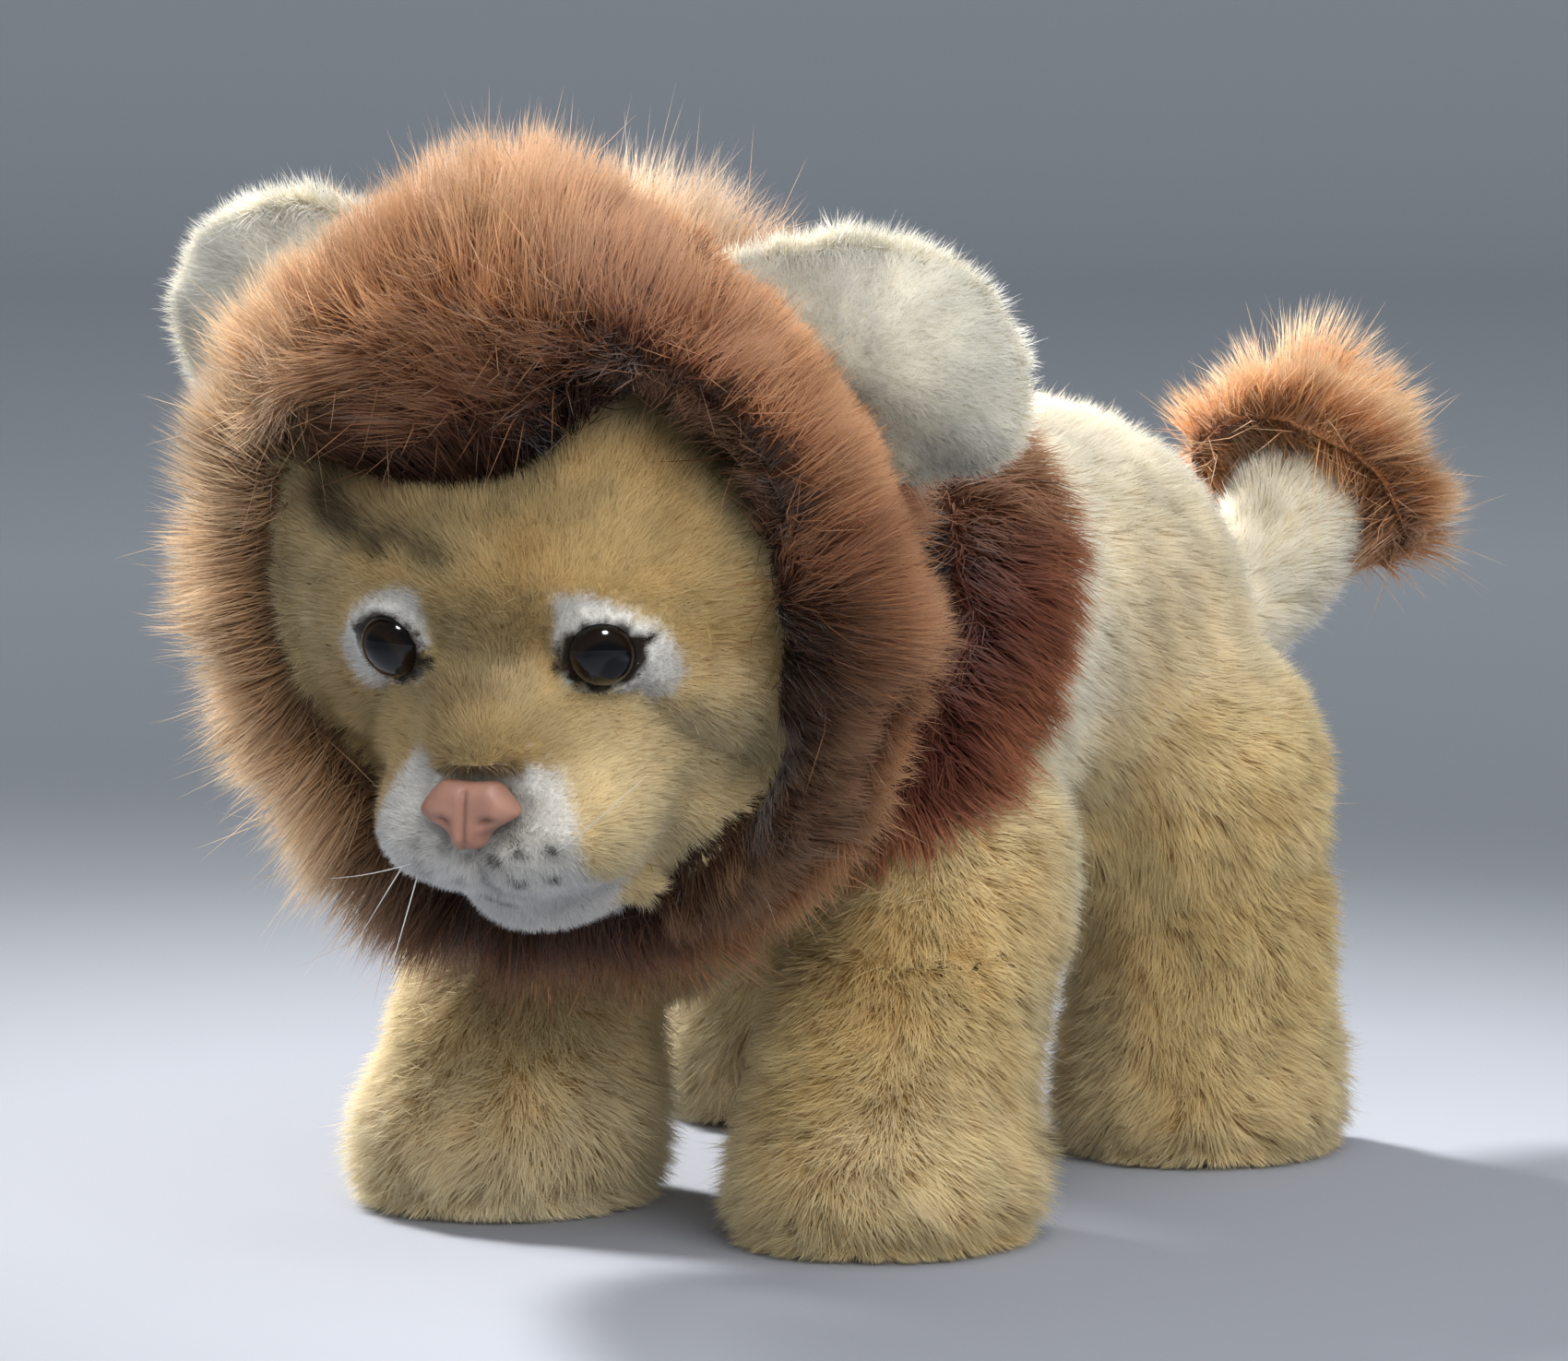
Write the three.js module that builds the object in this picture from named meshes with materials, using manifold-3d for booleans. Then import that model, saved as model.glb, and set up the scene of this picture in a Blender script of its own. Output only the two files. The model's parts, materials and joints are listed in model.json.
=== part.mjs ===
import * as THREE from 'three';
import { mergeVertices } from 'three/addons/utils/BufferGeometryUtils.js';
import Module from 'manifold-3d';

// A standing plush lion in millimetres, +Z up, facing -Y: cloth covers over loose filling,
// a long-pile mane, and a moulded nose and eyes held by lock washers inside the head.

const wasm = await Module();
wasm.setup();

// Cloth and clearances
const seamGap = 0.3;
const plushThickness = 4;
const patchThickness = 1.6;

// Torso
const torsoLength = 126;
const torsoWidth = 84;
const torsoHeight = 75;
const bellyClearance = 38;
const chestPlace = -56;
const bellySeamHeight = 52;
const collarThickness = 3.5;
const collarPlace = -1;
const collarTilt = 24;

// Legs
const pawWidth = 43;
const pawLength = 45;
const soleThickness = 3;
const soleInset = 4;
const frontLegs = {
  side: 30, pawPlace: -42, hipPlace: -26, hipHeight: 49, hipRadius: 21.5, innerSide: 8, outerSide: 50,
};
const rearLegs = {
  side: 33, pawPlace: 43, hipPlace: 41, hipHeight: 53, hipRadius: 26, innerSide: 12, outerSide: 53,
};
const legSwingRoom = 6;

// Neck: everything behind the mane turns inside one ball-shaped bowl of the torso
const neckPlace = -60.5;
const neckHeight = 96;
const neckRadius = 42;
const neckDroop = 20;
const neckPatchAngle = 29;
const neckOpeningAngle = 43;
const headTurn = 10;
const headNod = 22;
const headTilt = 0.5;

// Head
const skullForward = 14.5;
const skullRise = 5;
const craniumWidth = 82;
const craniumDepth = 70;
const craniumHeight = 78;
const faceSeamForward = 8;
const bridge = { forward: 27, drop: 10, width: 24, depth: 38, height: 27 };
const muzzle = { forward: 29, drop: 22, width: 34, depth: 35, height: 27 };
const chin = { forward: 24, drop: 35, width: 26, depth: 26, height: 18 };

// Mane ruff round the face
const ruff = { width: 100, depth: 100, height: 112, drop: 1, front: 25, rear: 0.5, swingRoom: 6.5 };
const faceOpening = { width: 70, top: 33, bottom: 41 };
const crownAngle = 52;
const beardAngle = 42;

// Ears
const ear = { width: 47, height: 30, thickness: 10, rootRadius: 4.6, rootLength: 34 };
const earAngle = 51;
const earBack = 8;
const earLean = 8;

// Eyes and nose
const eye = { diameter: 9, dome: 3.9, shankRadius: 1.5, shankLength: 8.5, spread: 14.5, rise: 1.5 };
const washer = { radius: 4.6, thickness: 1.4 };
const eyePatch = { width: 19, height: 14.5, outward: 4, upward: 1.6 };
const nose = { width: 14.5, height: 10, depth: 4.2, edge: 1.4, forward: 45, drop: 15.5, lift: 24 };

// Tail
const tailRoot = { place: 61, height: 69, radius: 11 };
const tailRadius = 11.5;
const tailReach = 43;
const tailRise = 30;
const tailAside = 18;
const tailSwingRoom = 4;
const tuft = { width: 36, depth: 30, height: 38, behind: 4, below: 4 };

// Facets
const torsoSides = 16;
const legSides = 12;
const drumSides = 16;
const ballSides = 18;
const ballRings = 10;
const smallSides = 12;
const smallRings = 8;

const degrees = Math.PI / 180;
const xAxis = new THREE.Vector3(1, 0, 0);
const yAxis = new THREE.Vector3(0, 1, 0);
const zAxis = new THREE.Vector3(0, 0, 1);
const ahead = new THREE.Vector3(0, -1, 0);
const origin = new THREE.Vector3();

// How much larger a faceted hollow is so that a faceted body of its shape turns in it
function facetRoom(radius, sides, rings = Infinity) {
  return radius / (Math.cos(Math.PI / sides) * Math.cos(Math.PI / (2 * rings))) - radius + seamGap;
}

// Solids and geometries

function solidFrom(geometry) {
  geometry.deleteAttribute('normal');
  geometry.deleteAttribute('uv');
  const merged = mergeVertices(geometry);
  const corners = [];
  for (let i = 0; i < merged.index.count; i += 3) {
    const [a, b, c] = [merged.index.getX(i), merged.index.getX(i + 1), merged.index.getX(i + 2)];
    if (a !== b && b !== c && c !== a) corners.push(a, b, c);
  }
  return new wasm.Manifold(new wasm.Mesh({
    numProp: 3,
    vertProperties: Float32Array.from(merged.attributes.position.array),
    triVerts: Uint32Array.from(corners),
  }));
}

function geometryFrom(solid) {
  const mesh = solid.getMesh();
  const geometry = new THREE.BufferGeometry();
  geometry.setAttribute('position', new THREE.BufferAttribute(mesh.vertProperties, 3));
  geometry.setIndex(new THREE.BufferAttribute(mesh.triVerts, 1));
  geometry.computeVertexNormals();
  return geometry;
}

function placed(solid, object) {
  object.updateMatrix();
  return solid.transform(object.matrix.elements);
}

function frameAt(position, quaternion) {
  const frame = new THREE.Object3D();
  frame.position.copy(position);
  if (quaternion) frame.quaternion.copy(quaternion);
  return frame;
}

const joined = (solids) => solids.reduce((sum, solid) => sum.add(solid));

function ellipsoid(centre, width, depth, height, sides = ballSides, rings = ballRings) {
  const ball = new THREE.SphereGeometry(1, sides, rings);
  ball.scale(width / 2, depth / 2, height / 2);
  ball.translate(centre.x, centre.y, centre.z);
  return solidFrom(ball);
}

function revolved(profile, segments) {
  return solidFrom(new THREE.LatheGeometry(profile.map(([r, h]) => new THREE.Vector2(r, h)), segments));
}

// A closed outline, alike on both sides, from the curve shares of its right half
function evenOutline(halfShares, halfWidth, up, down) {
  const right = halfShares.map(([across, high]) => [across * halfWidth, high * (high > 0 ? up : down)]);
  const left = right.map(([x, z]) => [-x, z]).reverse();
  const outline = new THREE.Shape();
  outline.moveTo(...right[0]);
  for (const half of [right, left]) {
    for (let i = 1; i < half.length; i += 3) {
      outline.bezierCurveTo(...half[i], ...half[i + 1], ...half[i + 2]);
    }
  }
  return outline;
}

// A stuffed form: rounded rings strung on a spine, closed by a point at each end.
// Where no axis is given the rings stand square to the spine.
function stuffedForm(stations, sides, squareness, axis) {
  const spine = new THREE.CatmullRomCurve3(stations.map((s) => s.centre), false, 'catmullrom');
  const last = stations.length - 1;
  const points = [stations[0].centre.clone()];
  for (let i = 1; i < last; i += 1) {
    const { centre, halfAcross, halfTall } = stations[i];
    const along = axis || spine.getTangent(i / last);
    const across = xAxis.clone().addScaledVector(along, -along.x).normalize();
    const tall = across.clone().cross(along).normalize();
    for (let k = 0; k < sides; k += 1) {
      const angle = (2 * Math.PI * k) / sides;
      const [c, s] = [Math.cos(angle), Math.sin(angle)];
      const reach = (Math.abs(c) ** squareness + Math.abs(s) ** squareness) ** (-1 / squareness);
      points.push(centre.clone().addScaledVector(across, halfAcross * reach * c)
        .addScaledVector(tall, halfTall * reach * s));
    }
  }
  points.push(stations[last].centre.clone());
  const corners = [];
  const ring = (i, k) => 1 + (i - 1) * sides + (k % sides);
  for (let k = 0; k < sides; k += 1) {
    corners.push(0, ring(1, k), ring(1, k + 1));
    for (let i = 1; i < last - 1; i += 1) {
      corners.push(ring(i, k), ring(i + 1, k), ring(i + 1, k + 1));
      corners.push(ring(i, k), ring(i + 1, k + 1), ring(i, k + 1));
    }
    corners.push(points.length - 1, ring(last - 1, k + 1), ring(last - 1, k));
  }
  const geometry = new THREE.BufferGeometry().setFromPoints(points);
  geometry.setIndex(corners);
  return solidFrom(geometry);
}

// What lies on the side of a plane that its direction points to, kept back by half a seam
function side(solid, direction, point) {
  const d = direction.clone().normalize();
  return solid.trimByPlane(d.toArray(), d.dot(point) + seamGap / 2);
}

const otherSide = (solid, direction, point) => side(solid, direction.clone().negate(), point);
const above = (solid, height) => solid.trimByPlane([0, 0, 1], height);
const mirrored = (solid) => solid.mirror([1, 0, 0]);
const bothSides = (solid) => solid.add(mirrored(solid));

// Materials
const plain = (color, roughness) => new THREE.MeshStandardMaterial({ color, roughness, metalness: 0 });
const goldPlush = plain(0xd9c394, 0.95);
const creamPlush = plain(0xebe3cc, 0.95);
const facePlush = plain(0xc9b07c, 0.95);
const whitePlush = plain(0xeeeae2, 0.95);
const manePlush = plain(0xa0622f, 0.95);
const collarPlush = plain(0x6e3420, 0.95);
const tuftPlush = plain(0xc58a52, 0.95);
const fibreFilling = plain(0xf4f3ef, 1);
const noseVinyl = plain(0xb87a68, 0.6);
const eyeGloss = plain(0x120d0a, 0.08);
const washerPlastic = plain(0xe8e8e4, 0.5);

const lion = new THREE.Group();

function piece(name, solid, material, parent = lion) {
  const mesh = new THREE.Mesh(geometryFrom(solid), material);
  mesh.name = name;
  parent.add(mesh);
}

// Torso form: [along, middle above the belly, half width, half height]
const torsoStationShares = [
  [0, 0.24, 0, 0], [0.03, 0.25, 0.4, 0.28], [0.11, 0.31, 0.74, 0.55], [0.23, 0.44, 0.94, 0.9],
  [0.38, 0.5, 1, 1], [0.54, 0.495, 0.98, 0.985], [0.7, 0.49, 1, 0.97], [0.84, 0.475, 0.95, 0.9],
  [0.94, 0.46, 0.76, 0.68], [0.985, 0.45, 0.42, 0.36], [1, 0.44, 0, 0],
];
const torsoSquareness = 2.25;

function torsoForm(grow) {
  return stuffedForm(torsoStationShares.map(([along, middle, wide, tall]) => ({
    centre: new THREE.Vector3(
      0, chestPlace - grow + along * (torsoLength + 2 * grow), bellyClearance + middle * torsoHeight),
    halfAcross: wide * torsoWidth / 2 + grow,
    halfTall: tall * torsoHeight / 2 + grow,
  })), torsoSides, torsoSquareness, yAxis);
}

// Neck, head and their frames, both at the ball's centre
const neckPoint = new THREE.Vector3(0, neckPlace, neckHeight);
const neck = new THREE.Group();
neck.name = 'neck_frame';
neck.position.copy(neckPoint);
neck.rotation.set(-neckDroop * degrees, 0, 0);
const head = new THREE.Group();
head.name = 'head_frame';
head.position.copy(neckPoint);
head.rotation.order = 'ZXY';
head.rotation.set(headNod * degrees, headTilt * degrees, headTurn * degrees);
lion.add(neck, head);

function neckBall(grow) {
  const width = 2 * (neckRadius + grow);
  return ellipsoid(origin, width, width, width);
}

// A cone from the ball's centre towards the torso
function neckCone(halfAngle) {
  const length = 2 * neckRadius;
  return revolved([[0, 0], [length * Math.tan(halfAngle * degrees), length], [0, length]], ballSides);
}

const neckRoom = facetRoom(neckRadius, ballSides, ballRings);
const neckBowl = placed(neckBall(neckRoom), frameAt(neckPoint));

// Places in the head are taken from the middle of the skull
const skull = new THREE.Vector3(0, -skullForward, skullRise);
const skullPoint = (across, forward, up) => skull.clone().add(new THREE.Vector3(across, -forward, up));

// The mane's outside, in front of its rear plane
function ruffOutside(grow) {
  return side(ellipsoid(skullPoint(0, 0, -ruff.drop), ruff.width + 2 * grow, ruff.depth + 2 * grow,
    ruff.height + 2 * grow), ahead, skullPoint(0, ruff.rear - grow, 0));
}

const chestHollow = placed(ruffOutside(ruff.swingRoom), head);

// Leg column: [height, lean towards the hip, half width, half length]
const legStationShares = [
  [-0.12, 0, 0, 0], [-0.06, -0.05, 0.78, 0.78], [0.05, -0.12, 1, 1.02], [0.22, -0.08, 1, 0.99],
  [0.4, 0.15, 0.94, 0.9], [0.6, 0.5, 0.94, 0.9], [0.8, 0.85, 0.97, 0.94], [0.93, 1, 0.78, 0.75],
  [1, 1, 0, 0],
];

function legColumn(leg, shrink, bottom = shrink) {
  const top = leg.hipHeight + leg.hipRadius / 2 - shrink;
  return above(stuffedForm(legStationShares.map(([height, lean, wide, long]) => ({
    centre: new THREE.Vector3(
      leg.side, leg.pawPlace + lean * (leg.hipPlace - leg.pawPlace), height * top),
    halfAcross: wide * pawWidth / 2 - shrink,
    halfTall: long * pawLength / 2 - shrink,
  })), legSides, 2, zAxis), bottom);
}

// Hip drum: round about the axis that the leg swings on, flat inside, domed outside
const hipProfileShares = [[0, 0], [0.9, 0], [0.98, 0.12], [1, 0.4], [0.87, 0.72], [0.5, 0.93], [0, 1]];

function hipDrum(leg, grow) {
  const width = leg.outerSide - leg.innerSide + 2 * grow;
  const drum = revolved(hipProfileShares.map(([round, across]) => [
    round * (leg.hipRadius + grow), leg.innerSide - grow + across * width]), drumSides);
  const hip = frameAt(new THREE.Vector3(0, leg.hipPlace, leg.hipHeight));
  hip.rotation.z = -Math.PI / 2;
  return placed(drum, hip);
}

const hipSocket = (leg) => bothSides(hipDrum(leg, facetRoom(leg.hipRadius, drumSides)));

function legForm(leg, shrink) {
  return legColumn(leg, shrink).subtract(torsoForm(legSwingRoom + shrink)).add(hipDrum(leg, -shrink))
    .subtract(placed(neckBall(neckRoom + legSwingRoom + shrink), frameAt(neckPoint)));
}

function makeLeg(leg, name, isRight) {
  const turn = (solid) => (isRight ? mirrored(solid) : solid);
  const soleBlock = (inset, bottom, top) => legColumn(leg, inset, bottom).trimByPlane([0, 0, -1], -top);
  const cover = legForm(leg, 0).subtract(legForm(leg, plushThickness))
    .subtract(soleBlock(soleInset - seamGap, -soleThickness, soleThickness + seamGap));
  const seam = new THREE.Vector3(leg.side, 0, 0);
  piece(`${name}_outer_panel`, turn(side(cover, xAxis, seam)), goldPlush);
  piece(`${name}_inner_panel`, turn(otherSide(cover, xAxis, seam)), goldPlush);
  piece(`${name}_sole`, turn(soleBlock(soleInset, 0, soleThickness)), goldPlush);
  piece(`${name}_filling`, turn(legForm(leg, plushThickness + seamGap)), fibreFilling);
}

// Tail: a ball in the rump carries a tube that bends up and aside
const tailPoint = new THREE.Vector3(0, tailRoot.place, tailRoot.height);

function tailBall(grow) {
  const width = 2 * (tailRoot.radius + grow);
  return ellipsoid(tailPoint, width, width, width, smallSides, smallRings);
}

// Tail tube: [reach, rise, aside, radius]
const tailStationShares = [
  [0, 0, 0, 0], [0.08, 0, 0, 0.72], [0.36, 0, 0.14, 0.8], [0.68, 0.06, 0.5, 0.94],
  [0.9, 0.32, 0.84, 1], [1, 0.66, 0.98, 0.96], [1, 0.9, 1, 0.66], [0.99, 1, 1, 0],
];

function tailTube(grow) {
  return stuffedForm(tailStationShares.map(([reach, rise, aside, round]) => ({
    centre: new THREE.Vector3(aside * tailAside, reach * tailReach, rise * tailRise).add(tailPoint),
    halfAcross: round * tailRadius + grow,
    halfTall: round * tailRadius + grow,
  })), smallSides, 2);
}

// Torso cover, collar and filling
const torsoHollows = joined([hipSocket(frontLegs), hipSocket(rearLegs), neckBowl, chestHollow,
  tailBall(facetRoom(tailRoot.radius, smallSides, smallRings)), tailTube(tailSwingRoom)]);
const torsoInner = torsoForm(-plushThickness);
const torsoCover = torsoForm(0).subtract(torsoInner).subtract(torsoHollows);
const collarCover = torsoForm(collarThickness).subtract(torsoInner).subtract(torsoHollows);
const collarSeam = new THREE.Vector3(0, collarPlace, bellyClearance + torsoHeight);
const rearward = yAxis.clone().applyAxisAngle(xAxis, -collarTilt * degrees);
const bodyCover = side(torsoCover, rearward, collarSeam);
const bellySeam = new THREE.Vector3(0, 0, bellySeamHeight);
const flanks = side(bodyCover, zAxis, bellySeam);
piece('flank_left', side(flanks, xAxis, origin), creamPlush);
piece('flank_right', otherSide(flanks, xAxis, origin), creamPlush);
piece('belly_panel', otherSide(bodyCover, zAxis, bellySeam), goldPlush);
const collar = otherSide(collarCover, rearward, collarSeam);
piece('collar_left', side(collar, xAxis, origin), collarPlush);
piece('collar_right', otherSide(collar, xAxis, origin), collarPlush);
piece('body_filling', torsoForm(-plushThickness - seamGap).subtract(torsoHollows), fibreFilling);

makeLeg(frontLegs, 'front_leg_left', false);
makeLeg(frontLegs, 'front_leg_right', true);
makeLeg(rearLegs, 'rear_leg_left', false);
makeLeg(rearLegs, 'rear_leg_right', true);

// Tail cover in two halves, its filling, and a tuft of long pile on its end
const tailForm = (shrink) => tailTube(-shrink).add(tailBall(-shrink));
const tailCover = tailForm(0).subtract(tailForm(plushThickness));
const tailEnd = new THREE.Vector3(tailAside, tailReach, tailRise).add(tailPoint);
const tailSeam = tailPoint.clone().lerp(tailEnd, 0.5);
const acrossTail = new THREE.Vector3(tailReach, -tailAside, 0);
piece('tail_left_panel', side(tailCover, acrossTail, tailSeam), creamPlush);
piece('tail_right_panel', otherSide(tailCover, acrossTail, tailSeam), creamPlush);
piece('tail_filling', tailForm(plushThickness + seamGap), fibreFilling);
const tuftCentre = tailEnd.clone().add(new THREE.Vector3(0, tuft.behind, -tuft.below));
piece('tail_tuft', ellipsoid(tuftCentre, tuft.width, tuft.depth, tuft.height)
  .subtract(tailTube(seamGap)), tuftPlush);

// Head forms, in the head's own frame
const lobe = (l, grow) => ellipsoid(skullPoint(0, l.forward, -l.drop),
  l.width + 2 * grow, l.depth + 2 * grow, l.height + 2 * grow, smallSides, smallRings);
const cranium = (grow) => ellipsoid(
  skull, craniumWidth + 2 * grow, craniumDepth + 2 * grow, craniumHeight + 2 * grow);
const headForm = (grow) => joined([cranium(grow), neckBall(grow), lobe(bridge, grow)]);

// Eyes: a dome on a shank that a lock washer holds inside the cloth
const eyeSpots = [1, -1].map((hand) => {
  const [a, b, c] = [craniumWidth / 2, craniumDepth / 2, craniumHeight / 2];
  const across = hand * eye.spread;
  const forward = b * Math.sqrt(1 - (across / a) ** 2 - (eye.rise / c) ** 2);
  const outward = new THREE.Vector3(across / a ** 2, -forward / b ** 2, eye.rise / c ** 2).normalize();
  return { hand, frame: frameAt(skullPoint(across, forward, eye.rise),
    new THREE.Quaternion().setFromUnitVectors(yAxis, outward)) };
});

const eyeDomeShares = [[1, 0], [0.87, 0.5], [0.5, 0.87], [0, 1]];
const eyeUndersideShare = 0.25;

function eyeSolid(grow) {
  const radius = eye.diameter / 2 + grow;
  const stem = eye.shankRadius + grow;
  const back = -eye.shankLength - grow;
  const underside = -eyeUndersideShare * eye.dome - grow;
  return revolved([[0, back], [stem, back], [stem, underside], [radius, underside],
    ...eyeDomeShares.map(([round, rise]) => [round * radius, rise * (eye.dome + grow)])], smallSides);
}

const washerBack = -plushThickness - seamGap - washer.thickness;
const washerBore = eye.shankRadius + seamGap;
const washerSolid = revolved([[washerBore, washerBack], [washer.radius, washerBack],
  [washer.radius, washerBack + washer.thickness], [washerBore, washerBack + washer.thickness],
  [washerBore, washerBack]], smallSides);
const pocketBack = -eye.shankLength - seamGap;
const pocketRadius = washer.radius + seamGap;
const washerPocket = revolved([[0, pocketBack], [pocketRadius, pocketBack],
  [pocketRadius, -plushThickness], [0, -plushThickness]], smallSides);

// Nose: a moulded tee on a shank, lifted to lie on the muzzle
const noseFrame = frameAt(skullPoint(0, nose.forward, -nose.drop), new THREE.Quaternion()
  .setFromAxisAngle(xAxis, Math.PI / 2 - nose.lift * degrees));
const noseOutlineShares = [[0, 0.86], [0.4, 1.08], [0.95, 1.02], [1, 0.4], [1.02, -0.1], [0.6, -0.1],
  [0.42, -0.42], [0.3, -0.95], [0.12, -1], [0, -1]];

function noseBlock(grow) {
  const inset = grow - nose.edge;
  const [halfWidth, halfHeight] = [nose.width / 2 + inset, nose.height / 2 + inset];
  const block = new THREE.ExtrudeGeometry(
    evenOutline(noseOutlineShares, halfWidth, halfHeight, halfHeight), {
      depth: nose.depth - nose.edge + grow, curveSegments: 2,
      bevelThickness: nose.edge, bevelSize: nose.edge, bevelSegments: 1,
    });
  block.translate(0, 0, -nose.depth / 2 - grow);
  const stem = eye.shankRadius + grow;
  const reach = eye.shankLength + grow;
  const shank = new THREE.CylinderGeometry(stem, stem, reach, smallSides);
  shank.rotateX(Math.PI / 2);
  shank.translate(0, 0, -nose.depth / 2 - reach / 2);
  return placed(solidFrom(block).add(solidFrom(shank)), noseFrame);
}

const noseHollow = noseBlock(seamGap);
const noseShankFrame = frameAt(
  new THREE.Vector3(0, 0, -nose.depth / 2).applyQuaternion(noseFrame.quaternion).add(noseFrame.position),
  noseFrame.quaternion);
noseShankFrame.rotateX(Math.PI / 2);
const eyeHollows = joined(eyeSpots.map((spot) => placed(eyeSolid(seamGap), spot.frame)));

// Ears: a rounded root on the fold axis carries a thick floppy flap
const earFrames = [1, -1].map((hand) => {
  const lean = earAngle * degrees;
  const radial = new THREE.Vector3(hand * Math.sin(lean), 0, Math.cos(lean));
  const chord = new THREE.Vector3(Math.cos(lean), 0, -hand * Math.sin(lean));
  const back = earBack - skullForward;
  const reach = Math.sqrt(neckRadius ** 2 - back ** 2);
  const frame = new THREE.Group();
  frame.name = hand > 0 ? 'ear_left_frame' : 'ear_right_frame';
  frame.position.copy(radial).multiplyScalar(reach).addScaledVector(yAxis, back);
  const facing = radial.clone().cross(chord);
  frame.quaternion.setFromRotationMatrix(new THREE.Matrix4().makeBasis(chord, facing, radial));
  frame.rotateX(-earLean * degrees);
  head.add(frame);
  return frame;
});

function earRoot(grow) {
  const root = new THREE.CapsuleGeometry(ear.rootRadius + grow, ear.rootLength, 2, smallSides);
  root.rotateZ(Math.PI / 2);
  return solidFrom(root);
}

const earBulgeShare = 0.35;
const earBulge = earBulgeShare * ear.height;
const earForm = above(ellipsoid(new THREE.Vector3(0, 0, earBulge), ear.width, ear.thickness,
  2 * (ear.height - earBulge), smallSides, smallRings), 0).add(earRoot(0));
const earSocket = earRoot(facetRoom(ear.rootRadius, smallSides, smallRings));
const earHollows = joined(earFrames.map((frame) => placed(earSocket, frame)));
const shankFrames = [...eyeSpots.map((spot) => spot.frame), noseShankFrame];
const washerSeats = joined(shankFrames.map((frame) => placed(washerPocket, frame)));
const headHollows = joined([eyeHollows, noseHollow, earHollows, washerSeats]);

// Head cover: two face panels in front of the seam, one long-pile panel behind it
const faceSeam = skullPoint(0, faceSeamForward, 0);
const headShell = headForm(0).subtract(headForm(-plushThickness)).subtract(headHollows);
const faceShell = side(headShell, ahead, faceSeam);
piece('face_left', side(faceShell, xAxis, origin), facePlush, head);
piece('face_right', otherSide(faceShell, xAxis, origin), facePlush, head);
const neckSeenFromHead = frameAt(origin, head.quaternion.clone().invert().multiply(neck.quaternion));
piece('mane_back', otherSide(headShell, ahead, faceSeam)
  .subtract(placed(neckCone(neckOpeningAngle), neckSeenFromHead)), manePlush, head);
piece('neck_gusset', neckBall(0).subtract(neckBall(neckRoom - plushThickness))
  .intersect(neckCone(neckPatchAngle)), goldPlush, neck);

piece('head_filling', headForm(-plushThickness - seamGap).subtract(headHollows), fibreFilling, head);

for (const { hand, frame } of eyeSpots) {
  const name = hand > 0 ? 'left' : 'right';
  piece(`eye_${name}`, placed(eyeSolid(0), frame), eyeGloss, head);
  piece(`eye_washer_${name}`, placed(washerSolid, frame), washerPlastic, head);
}
piece('nose', noseBlock(0), noseVinyl, head);
piece('nose_washer', placed(washerSolid, noseShankFrame), washerPlastic, head);

// Muzzle halves and chin: short white plush sewn on the front of the face
const muzzleForm = lobe(muzzle, 0).subtract(headForm(seamGap)).subtract(noseHollow).subtract(washerSeats);
piece('muzzle_left', side(muzzleForm, xAxis, origin), whitePlush, head);
piece('muzzle_right', otherSide(muzzleForm, xAxis, origin), whitePlush, head);
piece('chin', lobe(chin, 0).subtract(headForm(seamGap)).subtract(lobe(muzzle, seamGap)), whitePlush, head);

// White patches round the eyes
for (const { hand, frame } of eyeSpots) {
  const outline = new THREE.CylinderGeometry(1, 1, 2 * plushThickness, smallSides);
  outline.scale(eyePatch.width / 2, 1, eyePatch.height / 2);
  outline.translate(hand * eyePatch.outward, 0, eyePatch.upward);
  const patch = cranium(patchThickness).subtract(headForm(seamGap)).subtract(eyeHollows)
    .intersect(placed(solidFrom(outline), frame));
  piece(hand > 0 ? 'eye_patch_left' : 'eye_patch_right', patch, whitePlush, head);
}

// Ruff of the mane, cut round the face and split at its seams
const openingShares = [[0, 0.5], [0.2, 0.55], [0.3, 1], [0.52, 1], [0.82, 1], [1, 0.5], [1, 0],
  [1, -0.6], [0.62, -1], [0, -1]];
const openingBlock = new THREE.ExtrudeGeometry(
  evenOutline(openingShares, faceOpening.width / 2, faceOpening.top, faceOpening.bottom),
  { depth: ruff.depth, bevelEnabled: false, curveSegments: 4 });
openingBlock.rotateX(Math.PI / 2);
openingBlock.translate(skull.x, skull.y, skull.z);

const ruffBand = otherSide(ruffOutside(0), ahead, skullPoint(0, ruff.front, 0))
  .subtract(joined([headForm(seamGap), solidFrom(openingBlock), lobe(chin, seamGap)]));

// The part of the band between two seams, whose angles turn from straight up towards the left
function sector(from, to) {
  const across = (angle) => new THREE.Vector3(Math.cos(angle * degrees), 0, -Math.sin(angle * degrees));
  return otherSide(side(ruffBand, across(from), skull), across(to), skull);
}
const rightAngles = 90;
piece('mane_crown', sector(-crownAngle, crownAngle), manePlush, head);
piece('mane_left', sector(crownAngle, 2 * rightAngles - beardAngle), manePlush, head);
piece('mane_beard', sector(2 * rightAngles - beardAngle, 2 * rightAngles + beardAngle), manePlush, head);
piece('mane_right', sector(2 * rightAngles + beardAngle, -crownAngle), manePlush, head);

for (const [i, name] of ['ear_left', 'ear_right'].entries()) {
  piece(`${name}_front`, side(earForm, ahead, origin), whitePlush, earFrames[i]);
  piece(`${name}_back`, otherSide(earForm, ahead, origin), creamPlush, earFrames[i]);
}

// The origin is under the middle of the whole lion, on the ground
lion.updateMatrixWorld(true);
const bounds = new THREE.Box3().setFromObject(lion, true);
const middle = bounds.getCenter(new THREE.Vector3());
lion.position.set(-middle.x, -middle.y, -bounds.min.z);
lion.updateMatrixWorld(true);

export default lion;
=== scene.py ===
import json
import math

import bmesh
import bpy
import numpy as np
from mathutils import Matrix, Vector
from mathutils.bvhtree import BVHTree
from mathutils.kdtree import KDTree


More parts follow.
